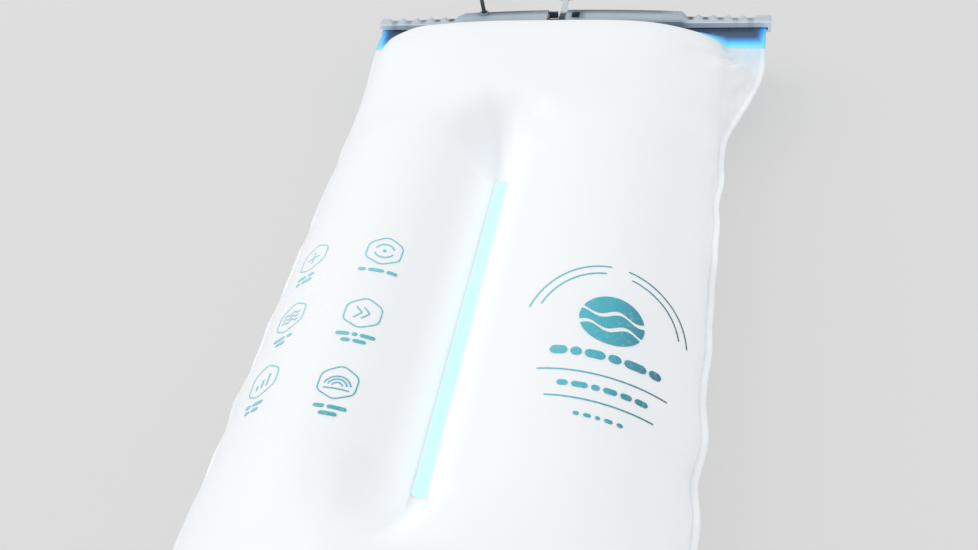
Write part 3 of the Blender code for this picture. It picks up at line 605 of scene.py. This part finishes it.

# ------------------------------------------------------------------ springs, sized from their CAD parts
def spring(name, node, r, wire, turns, length, centre, axis):
    per, k = 30, 10
    n = int(turns * per)
    V, F = [], []
    for i in range(n + 1):
        t = i / n
        a = 2 * math.pi * turns * t
        for j in range(k):
            b = 2 * math.pi * j / k
            q = r + wire * math.cos(b)
            p = (q * math.cos(a), q * math.sin(a), wire + (length - 2 * wire) * t + wire * math.sin(b))
            if axis == 'Y':
                p = (p[0], p[2], -p[1])
            V.append((centre[0] + p[0], centre[1] + p[1], centre[2] + p[2]))
    for i in range(n):
        for j in range(k):
            F.append((i * k + j, i * k + (j + 1) % k, (i + 1) * k + (j + 1) % k, (i + 1) * k + j))
    F.append(tuple(range(k))[::-1])
    F.append(tuple(range(n * k, (n + 1) * k)))
    ob = mesh_object(name, V, F, M_STEEL, "reservoir")
    bm = bmesh.new()
    bm.from_mesh(ob.data)
    bmesh.ops.recalc_face_normals(bm, faces=bm.faces)
    bm.to_mesh(ob.data)
    bm.free()
    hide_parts(node)
    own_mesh(ob)
    return ob


lo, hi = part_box("button_spring")
BSP = ((lo[0] + hi[0]) / 2, lo[1], (lo[2] + hi[2]) / 2)
spring("button_spring_look", "button_spring", 0.0015, 0.00022, 6, hi[1] - lo[1], BSP, 'Y')
lo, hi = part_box("poppet_spring")
PSP = ((lo[0] + hi[0]) / 2, (lo[1] + hi[1]) / 2, lo[2])
spring("poppet_spring_look", "poppet_spring", 0.0046, 0.0003, 4.5, hi[2] - lo[2], PSP, 'Z')

# ------------------------------------------------------------------ film skins
off = np.array([FX, FY, 0.0])


def skin(name, zfun, sign, nx, ny, mat, node, drop=None):
    X, Y = sheet_xy(nx, ny, YF + FL, YW)
    Z = zfun(X, Y)
    ys = Y[:, 0]
    xl, xr = edges(ys)
    zs = seam_z(ys)
    rim = sign * (GAP + T)
    edge_t = sign * (GAP + 0.35 * T)
    cols = []
    # side welds: under side at the weld line, outer edge, then up on to the bulge
    for x, dz in ((xl + FL, sign * GAP), (xl + 0.0002, sign * GAP), (xl, edge_t), (xl + 0.0003, rim), (xl + FL * 0.6, rim)):
        cols.append(np.stack([x, ys, zs + dz], 1))
    left = np.stack(cols, 1)
    cols = []
    for x, dz in ((xr - FL * 0.6, rim), (xr - 0.0003, rim), (xr, edge_t), (xr - 0.0002, sign * GAP), (xr - FL, sign * GAP)):
        cols.append(np.stack([x, ys, zs + dz], 1))
    right = np.stack(cols, 1)
    mid = np.stack([X, Y, Z], 2)
    G = np.concatenate([left, mid, right], 1)
    thick = np.abs(Z - zs[:, None]) - T
    fill = np.concatenate([np.zeros((len(ys), 5)), sm(thick / 0.008), np.zeros((len(ys), 5))], 1)
    # foot weld rows
    base = G[0].copy()
    foot = []
    for y, dz in ((YF + FL, sign * GAP), (YF + 0.0002, sign * GAP), (YF, edge_t), (YF + 0.0003, rim), (YF + FL * 0.6, rim)):
        row = base.copy()
        row[:, 1] = y
        row[:, 2] = ZS + np.where(np.arange(len(row)) < 5, sign * np.minimum(abs(dz), np.abs(base[:, 2] - ZS)), dz)
        row[-5:, 2] = ZS + sign * np.minimum(abs(dz), np.abs(base[-5:, 2] - ZS))
        k = 0.0012 * (YF + FL - y) / FL
        c = (base[:, 0].min() + base[:, 0].max()) / 2
        row[:, 0] = c + (base[:, 0] - c) * (1 - k)
        foot.append(row)
    G = np.concatenate([np.stack(foot, 0), G], 0)
    fill = np.concatenate([np.zeros((5, fill.shape[1])), fill], 0)
    # painted glow amounts for the film's emission: the groove beside the baffle weld, the right edge and the side welds
    on = sm((YB1 + 0.006 - Y) / 0.014) * sm((Y - YB2 + 0.030) / 0.030)
    u = groove(Y) * np.where(X > XB, np.exp(-((X - XB) / 0.011) ** 2), np.exp(-((X - XB) / 0.0075) ** 2) * 0.42 * on)
    u = np.clip(u + 0.30 * np.exp(-((xr[:, None] - X) / 0.014) ** 2) * sm((0.13 - Y) / 0.05), 0, 1)
    painted_glow = np.concatenate([np.full((len(ys), 5), 0.25), u, np.full((len(ys), 5), 0.45)], 1)
    painted_glow = np.concatenate([np.zeros((5, painted_glow.shape[1])), painted_glow], 0)
    m, n = G.shape[:2]
    idx = np.arange(m * n).reshape(m, n)
    faces = []
    for i in range(m - 1):
        for j in range(n - 1):
            a, b, c, d = idx[i, j], idx[i, j + 1], idx[i + 1, j + 1], idx[i + 1, j]
            if 0 < i < 5 and j in (0, n - 2):
                continue
            if drop is not None:
                p = (G[i, j] + G[i + 1, j + 1]) / 2
                if drop(p[0], p[1]):
                    continue
            faces.append((a, b, c, d) if sign > 0 else (d, c, b, a))
    ob = mesh_object(name, G.reshape(-1, 3) + off, faces, mat, "reservoir")
    attribute(ob, "fill", fill.reshape(-1))
    attribute(ob, "painted_glow", painted_glow.reshape(-1))
    q = G.reshape(-1, 3)
    t = np.exp(-((YW - q[:, 1]) / 0.020) ** 2) * np.clip(sm((q[:, 0] - 0.058) / 0.030) + 0.5 * sm((-0.082 - q[:, 0]) / 0.016), 0, 1)
    attribute(ob, "tint", t)
    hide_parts(node)
    return ob


def under_flange(x, y):
    return math.hypot(x - PX, y - PY) < 0.0168


front = skin("front_film_skin", front_z, 1, 170, 300, M_FILM, "front_film",
             under_flange)
back = skin("back_film_skin", back_z, -1, 110, 190, M_FILMB, "back_film")


def band_skin(name, zfun, sign, mat, node, nx, ny):
    """The blue top band, with its bead in the slider, as one closed strip."""
    X, Y = sheet_xy(nx, ny, YW + 0.0001, 0.1862)
    Z = zfun(X, Y)
    ys = Y[:, 0]
    xl, xr = edges(ys)
    zs = seam_z(ys)
    top = np.stack([X, Y, Z], 2)
    bot = np.stack([X, Y, Z - sign * np.minimum(T, np.abs(Z - zs[:, None]) - GAP)], 2)
    L = np.stack([xl, ys, zs + sign * (GAP + T * 0.9)], 1)[:, None]
    L2 = np.stack([xl, ys, zs + sign * GAP], 1)[:, None]
    Rr = np.stack([xr, ys, zs + sign * (GAP + T * 0.9)], 1)[:, None]
    R2 = np.stack([xr, ys, zs + sign * GAP], 1)[:, None]
    top = np.concatenate([L, top, Rr], 1)
    bot = np.concatenate([L2, bot, R2], 1)
    xs = top[-1, :, 0].copy()
    xs = np.clip(xs * (XT / np.abs(xs).max()), -XT, XT)
    rows_t, rows_b = [], []
    for y, th in ((0.1873, 0.0005), (0.1901, 0.0005), (0.1903, 0.0009), (0.1906, 0.00115), (0.1913, 0.00120),
                  (0.1920, 0.00115), (0.1924, 0.0009), (0.1926, 0.0004)):
        rows_t.append(np.stack([xs, np.full_like(xs, y), np.full_like(xs, ZC + sign * (GAP + th))], 1))
        rows_b.append(np.stack([xs, np.full_like(xs, y), np.full_like(xs, ZC + sign * GAP)], 1))
    top = np.concatenate([top, np.stack(rows_t, 0)], 0)
    bot = np.concatenate([bot, np.stack(rows_b, 0)], 0)
    m, n = top.shape[:2]
    V = np.concatenate([top.reshape(-1, 3), bot.reshape(-1, 3)], 0)
    it = np.arange(m * n).reshape(m, n)
    ib = it + m * n
    F = []
    for i in range(m - 1):
        for j in range(n - 1):
            F.append((it[i, j], it[i, j + 1], it[i + 1, j + 1], it[i + 1, j]))
            F.append((ib[i, j], ib[i + 1, j], ib[i + 1, j + 1], ib[i, j + 1]))
    for i in range(m - 1):
        F.append((it[i, 0], it[i + 1, 0], ib[i + 1, 0], ib[i, 0]))
        F.append((it[i, -1], ib[i, -1], ib[i + 1, -1], it[i + 1, -1]))
    for j in range(n - 1):
        F.append((it[0, j], ib[0, j], ib[0, j + 1], it[0, j + 1]))
        F.append((it[-1, j], it[-1, j + 1], ib[-1, j + 1], ib[-1, j]))
    if sign < 0:
        F = [f[::-1] for f in F]
    d = np.minimum((V[:, 1] - YW), (XT - np.abs(V[:, 0])) * 1.7 + (V[:, 1] - YW) * 0.25) * 1000
    ob = mesh_object(name, V + off, F, mat, "reservoir")
    attribute(ob, "edge_mm", np.clip(d, 0, 20))
    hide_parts(node)
    return ob


band_skin("front_band_skin", front_z, 1, M_BAND, "front_top_band", 90, 16)
band_skin("back_band_skin", back_z, -1, M_BAND, "back_top_band", 90, 16)


# ------------------------------------------------------------------ baffle weld strip
def strip(name, zfun, sign):
    w, r = 0.0034, 0.0034
    n, k = 240, 12
    V, F, E = [], [], []
    ys = np.linspace(YB2, YB1, n)
    for y in ys:
        h = w
        for e in (y - YB2, YB1 - y):
            if e < r:
                h = min(h, math.sqrt(max(0.0, r * r - (r - e) ** 2)) + 0.0002)
        for j in range(k + 1):
            t = -1 + 2 * j / k
            x = XB + h * t
            z = float(zfun(np.array(x), np.array(y))) + sign * (0.00018 + 0.00016 * (1 - t ** 4))
            V.append((x + FX, y + FY, z))
            E.append(sm(np.array((abs(t) - 0.55) / 0.45)))
    for i in range(n - 1):
        for j in range(k):
            a = i * (k + 1) + j
            f = (a, a + 1, a + k + 2, a + k + 1)
            F.append(f if sign > 0 else f[::-1])
    ob = mesh_object(name, V, F, M_STRIP, "reservoir")
    attribute(ob, "edge", E)
    return ob


strip("baffle_weld_front", front_z, 1)
strip("baffle_weld_back", back_z, -1)

# ------------------------------------------------------------------ print, laid along the film
GYS = np.linspace(-0.160, 0.020, 181)
GXS = np.linspace(-0.0940, 0.0835, 711)
_X, _Y = np.meshgrid(GXS, GYS)
_Z = front_z(_X, _Y)
_S = np.concatenate([np.zeros((len(GYS), 1)), np.cumsum(np.hypot(np.diff(_X, axis=1), np.diff(_Z, axis=1)), axis=1)], 1)
_k0 = int(np.argmin(np.abs(GXS - XB)))
_S = _S - _S[:, _k0:_k0 + 1]


def on_film(cx, cy, px, py, lift=0.00016):
    """Points px, py (metres along the film from the print centre cx, cy) on the film's surface."""
    px, py = np.asarray(px, float), np.asarray(py, float)
    s0 = np.interp(cx, GXS, _S[int(np.argmin(np.abs(GYS - cy)))])
    out = np.zeros((len(px), 3))
    for i, (a, b) in enumerate(zip(px, py)):
        y = cy + b
        f = np.clip((y - GYS[0]) / (GYS[1] - GYS[0]), 0, len(GYS) - 1.001)
        k = int(f)
        f -= k
        xa = np.interp(s0 + a, _S[k], GXS)
        xb = np.interp(s0 + a, _S[k + 1], GXS)
        out[i] = (xa * (1 - f) + xb * f, y, 0)
    e = 0.0004
    z = front_z(out[:, 0], out[:, 1])
    nx = -(front_z(out[:, 0] + e, out[:, 1]) - front_z(out[:, 0] - e, out[:, 1])) / (2 * e)
    ny = -(front_z(out[:, 0], out[:, 1] + e) - front_z(out[:, 0], out[:, 1] - e)) / (2 * e)
    nn = np.sqrt(nx * nx + ny * ny + 1)
    out[:, 0] += nx / nn * lift
    out[:, 1] += ny / nn * lift
    out[:, 2] = z + lift / nn
    return out + off


class Print:
    def __init__(self):
        self.V, self.F = [], []

    def grid(self, P, m, n):
        base = len(self.V)
        self.V.extend([tuple(p) for p in P])
        for i in range(m - 1):
            for j in range(n - 1):
                a = base + i * n + j
                f = (a, a + 1, a + n + 1, a + n)
                p, q, r = (np.array(self.V[f[0]]), np.array(self.V[f[1]]), np.array(self.V[f[3]]))
                up = np.cross(q - p, r - p)[2]
                self.F.append(f if up > 0 else f[::-1])

    def stroke(self, cx, cy, pts, w, closed=False, step=0.0006):
        pts = np.asarray(pts, float)
        if closed:
            pts = np.vstack([pts, pts[:1]])
        seg = np.hypot(*np.diff(pts, axis=0).T)
        s = np.concatenate([[0], np.cumsum(seg)])
        n = max(3, int(s[-1] / step) + 1)
        t = np.linspace(0, s[-1], n)
        q = np.stack([np.interp(t, s, pts[:, 0]), np.interp(t, s, pts[:, 1])], 1)
        d = np.gradient(q, axis=0)
        if closed:
            d[0] = d[-1] = q[1] - q[-2]
        d /= np.maximum(np.hypot(d[:, 0], d[:, 1]), 1e-9)[:, None]
        nrm = np.stack([-d[:, 1], d[:, 0]], 1)
        P = []
        for k in (-0.5, 0.5):
            P.append(q + nrm * w * k)
        P = np.stack(P, 1).reshape(-1, 2)
        self.grid(on_film(cx, cy, P[:, 0], P[:, 1]), n, 2)

    def fill(self, cx, cy, x0, x1, lo, hi, nx=None):
        """Area between the curves lo(x) and hi(x)."""
        nx = nx or max(4, int((x1 - x0) / 0.0007))
        xs = np.linspace(x0, x1, nx)
        lo, hi = lo(xs), hi(xs)
        ny = max(3, int(np.max(hi - lo) / 0.0009) + 2)
        P = np.zeros((nx, ny, 2))
        for j in range(ny):
            P[:, j, 0] = xs
            P[:, j, 1] = lo + (hi - lo) * j / (ny - 1)
        P = P.reshape(-1, 2)
        self.grid(on_film(cx, cy, P[:, 0], P[:, 1]), nx, ny)

    def bar(self, cx, cy, x, y, w, h):
        r = h / 2
        f = lambda v: r * np.sqrt(np.clip(1 - np.clip((np.abs(v - x) - (w / 2 - r)) / r, 0, 1) ** 2, 0.02, 1))
        self.fill(cx, cy, x - w / 2, x + w / 2, lambda v: y - f(v), lambda v: y + f(v), max(8, int(w / 0.0004)))

    def done(self, name, mat):
        return mesh_object(name, np.array(self.V), self.F, mat, "reservoir", smooth=True)


def ngon_round(n, rx, ry, corner, rot=0.0, per=7):
    """A regular polygon with rounded corners as points, in metres."""
    c = [(rx * math.cos(rot + 2 * math.pi * k / n), ry * math.sin(rot + 2 * math.pi * k / n)) for k in range(n)]
    out = []
    for k in range(n):
        p, a, b = np.array(c[k]), np.array(c[k - 1]), np.array(c[(k + 1) % n])
        u = (a - p) / np.linalg.norm(a - p) * corner
        v = (b - p) / np.linalg.norm(b - p) * corner
        for i in range(per):
            t = i / (per - 1)
            out.append(tuple((1 - t) ** 2 * (p + u) + 2 * t * (1 - t) * p + t * t * (p + v)))
    return out


def arc(cx, cy, r, a0, a1, n=60):
    t = np.radians(np.linspace(a0, a1, n))
    return np.stack([cx + r * np.cos(t), cy + r * np.sin(t)], 1)


MMm = 0.001


def icon(P, cx, cy, kind, rows):
    P.stroke(cx, cy, ngon_round(6, 8.1 * MMm, 8.5 * MMm, 2.2 * MMm, math.pi / 2), 0.50 * MMm, True)
    w = 0.55 * MMm
    if kind == 0:      # ring and dot
        P.stroke(cx, cy, arc(0, 0, 3.9 * MMm, 20, 160), w)
        P.stroke(cx, cy, arc(0, 0, 3.9 * MMm, 200, 340), w)
        P.bar(cx, cy, 0, 0, 1.5 * MMm, 1.5 * MMm)
    elif kind == 1:    # double chevron
        for d in (-1.9, 1.1):
            P.stroke(cx, cy, np.array([(d - 1.2, 3.1), (d + 1.6, 0), (d - 1.2, -3.1)]) * MMm, w)
    elif kind == 2:    # nested arcs over a line
        for r in (2.0, 3.6, 5.0):
            P.stroke(cx, cy, arc(0, -2.0 * MMm, r * MMm, 12, 168), w)
        P.stroke(cx, cy, np.array([(-4.8, -3.1), (4.8, -3.1)]) * MMm, w)
    elif kind == 3:    # plus
        P.stroke(cx, cy, np.array([(-3.4, 0), (3.4, 0)]) * MMm, w)
        P.stroke(cx, cy, np.array([(0, -3.6), (0, 3.6)]) * MMm, w)
    elif kind == 4:    # waves
        xs = np.linspace(-4.4, 4.4, 40)
        for d in (2.2, 0, -2.2):
            P.stroke(cx, cy, np.stack([xs, d + 0.7 * np.sin(xs * 1.45)], 1) * MMm, w)
    else:              # rising bars
        for k, h in enumerate((2.4, 4.2, 6.0)):
            x = (-2.8 + 2.8 * k) * MMm
            P.stroke(cx, cy, np.array([(x / MMm, -3.1), (x / MMm, -3.1 + h)]) * MMm, w * 1.5)
    y = -12.0 * MMm
    for widths in rows:
        x = -sum(widths) / 2 - (len(widths) - 1) * 0.45
        for b in widths:
            P.bar(cx, cy, (x + b / 2) * MMm, y, b * MMm, 1.75 * MMm)
            x += b + 0.9
        y -= 3.3 * MMm


def print_material():
    n = Nodes("print_teal_look")
    x, y, z = n.xyz()
    # print colour across x: paler at the left, a painted highlight of the film's sheen, and darker teal towards the
    # right
    f = n.remap(x, -0.080, 0.080, 0.0, 1.0)
    col = n.ramp(f, [(0.0, (0.34, 0.76, 0.83)), (0.14, (0.25, 0.70, 0.78)), (0.26, (0.13, 0.56, 0.63)),
                     (0.60, (0.16, 0.62, 0.68)), (0.80, (0.050, 0.42, 0.52)), (0.93, (0.022, 0.15, 0.21)),
                     (1.0, (0.012, 0.08, 0.12))])
    low = n.math('MULTIPLY', n.remap(y, -0.050, -0.115, 0.0, 1.0), n.remap(x, -0.030, -0.060, 1.0, 0.35))
    low = n.math('MULTIPLY', low, n.remap(x, 0.0, 0.02, 1.0, 0.0))
    col = n.mix(low, col, (0.045, 0.36, 0.42))
    sp = n.noise(520.0, 3.0, 0.6)
    col = n.mix(n.remap(sp, 0.55, 0.8, 0.0, 0.35), col, (0.55, 0.80, 0.84))
    n.link(col, "Base Color")
    n.link(n.remap(n.noise(200.0, 2.0), 0.3, 0.7, 0.30, 0.42), "Roughness")
    n.bump(sp, 0.06, 0.0002)
    return n.m


M_PRINT = print_material()
IC = Print()
for cx, cy, kind, rows in ((-0.0450, -0.0330, 0, [(3.2, 6.4, 4.6)]), (-0.0450, -0.0700, 1, [(5.4, 2.2, 6.0), (3.6, 5.2)]),
                           (-0.0452, -0.1075, 2, [(4.2, 7.2), (6.8,)]), (-0.0768, -0.0295, 3, [(5.0, 3.6), (2.4, 5.6)]),
                           (-0.0762, -0.0660, 4, [(6.4, 2.8), (5.2,)]), (-0.0770, -0.1010, 5, [(3.0, 5.4), (2.6, 3.8)])):
    IC.icon = icon(IC, cx, cy, kind, rows)
IC.done("print_icons", M_PRINT)

EM = Print()
ex, ey = 0.0490, -0.0700
# open ring of two lines round the badge
for r, gaps in ((33.0, ((14, 84), (96, 166))), (29.0, ((18, 80), (100, 162)))):
    for a0, a1 in gaps:
        EM.stroke(ex, ey, arc(0, -0.5 * MMm, r * MMm, a0, a1, 90), 0.62 * MMm)
# badge: a disc crossed by two wavy gaps
R = 12.6 * MMm


def circ(v, s):
    return 3.0 * MMm + s * np.sqrt(np.clip(R * R - v * v, 0, None))


def wave(c):
    return lambda v: (c + 3.0) * MMm + 1.5 * MMm * np.sin(v / MMm * 0.42 + c * 0.2)


def span(c):
    """x range in which the wave c lies inside the disc."""
    xs = np.linspace(-R, R, 4001)
    inside = (wave(c)(xs) < circ(xs, 1)) & (wave(c)(xs) > circ(xs, -1))
    xs = xs[inside]
    return xs[0], xs[-1]


a, b = span(4.1)
EM.fill(ex, ey, a, b, wave(4.1), lambda v: circ(v, 1), 60)
a, b = span(2.2)
c, d = span(-3.0)
x0, x1 = min(a, c), max(b, d)
EM.fill(ex, ey, -R * 0.9995, R * 0.9995, lambda v: np.maximum(wave(-3.0)(v), circ(v, -1)),
        lambda v: np.maximum(np.minimum(wave(2.2)(v), circ(v, 1)), np.maximum(wave(-3.0)(v), circ(v, -1))), 70)
a, b = span(-4.9)
EM.fill(ex, ey, a, b, lambda v: circ(v, -1), wave(-4.9), 60)
# plain bars in place of wording
x = -21.0
for wd in (6.4, 4.2, 7.6, 5.0, 8.8, 5.2):
    EM.bar(ex, ey, (x + wd / 2) * MMm, -16.6 * MMm, wd * MMm, 4.2 * MMm)
    x += wd + 1.0
for yy, hw in ((-26.5, 24.5), (-39.5, 20.0)):
    xs = np.linspace(-hw, hw, 80)
    EM.stroke(ex, ey, np.stack([xs, yy - 0.0 * xs], 1) * MMm, 0.62 * MMm)
x = -16.5
for wd in (4.0, 6.0, 3.2, 5.2, 4.4, 5.2):
    EM.bar(ex, ey, (x + wd / 2) * MMm, -33.0 * MMm, wd * MMm, 2.6 * MMm)
    x += wd + 1.1
x = -9.0
for wd in (2.2, 2.8, 1.8, 3.2, 2.4):
    EM.bar(ex, ey, (x + wd / 2) * MMm, -46.5 * MMm, wd * MMm, 1.7 * MMm)
    x += wd + 1.4
EM.done("print_badge", M_PRINT)

# ------------------------------------------------------------------ pull cord
EX, EY, EZ = -0.0465, 0.1965, ZC + 0.0066
CORD_R = 0.00105
ROUTE = [(EX, EY, EZ + 0.0003), (EX - 0.0006, EY + 0.0008, EZ + 0.0050), (EX - 0.0022, EY + 0.0060, EZ + 0.0098),
         (EX - 0.0046, EY + 0.0160, EZ + 0.0102), (EX - 0.0072, EY + 0.0300, EZ + 0.0048),
         (EX - 0.0094, EY + 0.0440, EZ - 0.0040), (EX - 0.0110, EY + 0.0580, EZ - 0.0148),
         (EX - 0.0122, EY + 0.0710, EZ - 0.0245), (EX - 0.0128, EY + 0.0840, 0.0034), (EX - 0.0130, EY + 0.0960, 0.0013),
         (EX - 0.0110, EY + 0.1080, 0.0013), (EX - 0.0020, EY + 0.1160, 0.0013), (EX + 0.0100, EY + 0.1180, 0.0016),
         (EX + 0.0180, EY + 0.1170, 0.0030)]


def catmull(p, per=6):
    q = [Vector(a) for a in p]
    q = [q[0] * 2 - q[1]] + q + [q[-1] * 2 - q[-2]]
    out = []
    for i in range(1, len(q) - 2):
        a, b, c, d = q[i - 1], q[i], q[i + 1], q[i + 2]
        for k in range(per):
            t = k / per
            out.append(0.5 * ((2 * b) + (c - a) * t + (2 * a - 5 * b + 4 * c - d) * t * t
                              + (3 * b - a - 3 * c + d) * t ** 3))
    out.append(q[-2])
    return out


cp = catmull(ROUTE, 8)
for p in cp:
    p.z = max(p.z, CORD_R + 0.0002)
    p.x += FX
    p.y += FY
cu = bpy.data.curves.new("pull_cord_look", 'CURVE')
cu.dimensions = '3D'
cu.bevel_depth = CORD_R
cu.bevel_resolution = 4
cu.use_fill_caps = True
sp = cu.splines.new('POLY')
sp.points.add(len(cp) - 1)
for s, p in zip(sp.points, cp):
    s.co = (p.x, p.y, p.z, 1)
cu.materials.append(M_CORD)
cord = bpy.data.objects.new("pull_cord_look", cu)
bpy.context.scene.collection.objects.link(cord)
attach(cord, "slider")
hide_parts("pull_cord")

# ------------------------------------------------------------------ stage, light and camera
fl = Nodes("floor_look")
fl.link(fl.mix(fl.remap(fl.noise(3.0, 2.0), 0.3, 0.7, 0, 1), (0.248, 0.2475, 0.246), (0.252, 0.2515, 0.250)), "Base Color")
fl.b.inputs["Emission Color"].default_value = (1.0, 0.997, 0.990, 1.0)
fl.b.inputs["Emission Strength"].default_value = 0.466
fl.set(Roughness=0.9)
fl.b.inputs["Specular IOR Level"].default_value = 0.1
me = bpy.data.meshes.new("floor")
me.from_pydata([(-6, -6, 0), (6, -6, 0), (6, 6, 0), (-6, 6, 0)], [], [(0, 1, 2, 3)])
me.materials.append(fl.m)
floor = bpy.data.objects.new("floor", me)
bpy.context.scene.collection.objects.link(floor)
floor.location.z = -0.0003

world = bpy.data.worlds.new("studio")
bpy.context.scene.world = world
world.use_nodes = True
world.node_tree.nodes["Background"].inputs["Color"].default_value = (0.97, 0.985, 1.0, 1)
world.node_tree.nodes["Background"].inputs["Strength"].default_value = 0.80


def area(name, loc, target, size, power, colour=(1, 1, 1)):
    l = bpy.data.lights.new(name, 'AREA')
    l.shape = 'RECTANGLE'
    l.size, l.size_y = size
    l.energy = power
    l.color = colour
    o = bpy.data.objects.new(name, l)
    bpy.context.scene.collection.objects.link(o)
    o.location = loc
    o.rotation_euler = (Vector(target) - Vector(loc)).to_track_quat('-Z', 'Y').to_euler()
    return o


area("key", (-1.5, 0.5, 1.6), (0, 0, 0.03), (1.6, 1.6), 10.2, (1.0, 1.0, 1.0))
area("top", (0.1, 0.2, 2.2), (0, 0, 0.03), (2.2, 2.2), 5.7, (1.0, 1.0, 1.0))

AZ, EL, ROLL = 14.5366, 39.4901, -7.8060
CAM = (0.10349 + FX, -0.44740 + FY, 0.40206)
F_PX = 1400.0
cam_d = bpy.data.cameras.new("camera")
cam = bpy.data.objects.new("camera", cam_d)
bpy.context.scene.collection.objects.link(cam)
cam_d.sensor_fit = 'HORIZONTAL'
cam_d.sensor_width = 36.0
cam_d.lens = 36.0 * F_PX / 978.0
cam_d.clip_start, cam_d.clip_end = 0.01, 50
a, e, r = (math.radians(v) for v in (AZ, EL, ROLL))
back_v = Vector((math.sin(a) * math.cos(e), -math.cos(a) * math.cos(e), math.sin(e)))
right_v = Vector((math.cos(a), math.sin(a), 0))
up_v = back_v.cross(right_v)
R2 = math.cos(r) * right_v + math.sin(r) * up_v
U2 = -math.sin(r) * right_v + math.cos(r) * up_v
M = Matrix((R2, U2, back_v)).transposed().to_4x4()
M.translation = Vector(CAM)
cam.matrix_world = M
bpy.context.scene.camera = cam

vs = bpy.context.scene.view_settings
vs.view_transform = 'Standard'
vs.look = 'None'
vs.exposure = 0.0
vs.gamma = 1.0

bpy.context.view_layer.update()
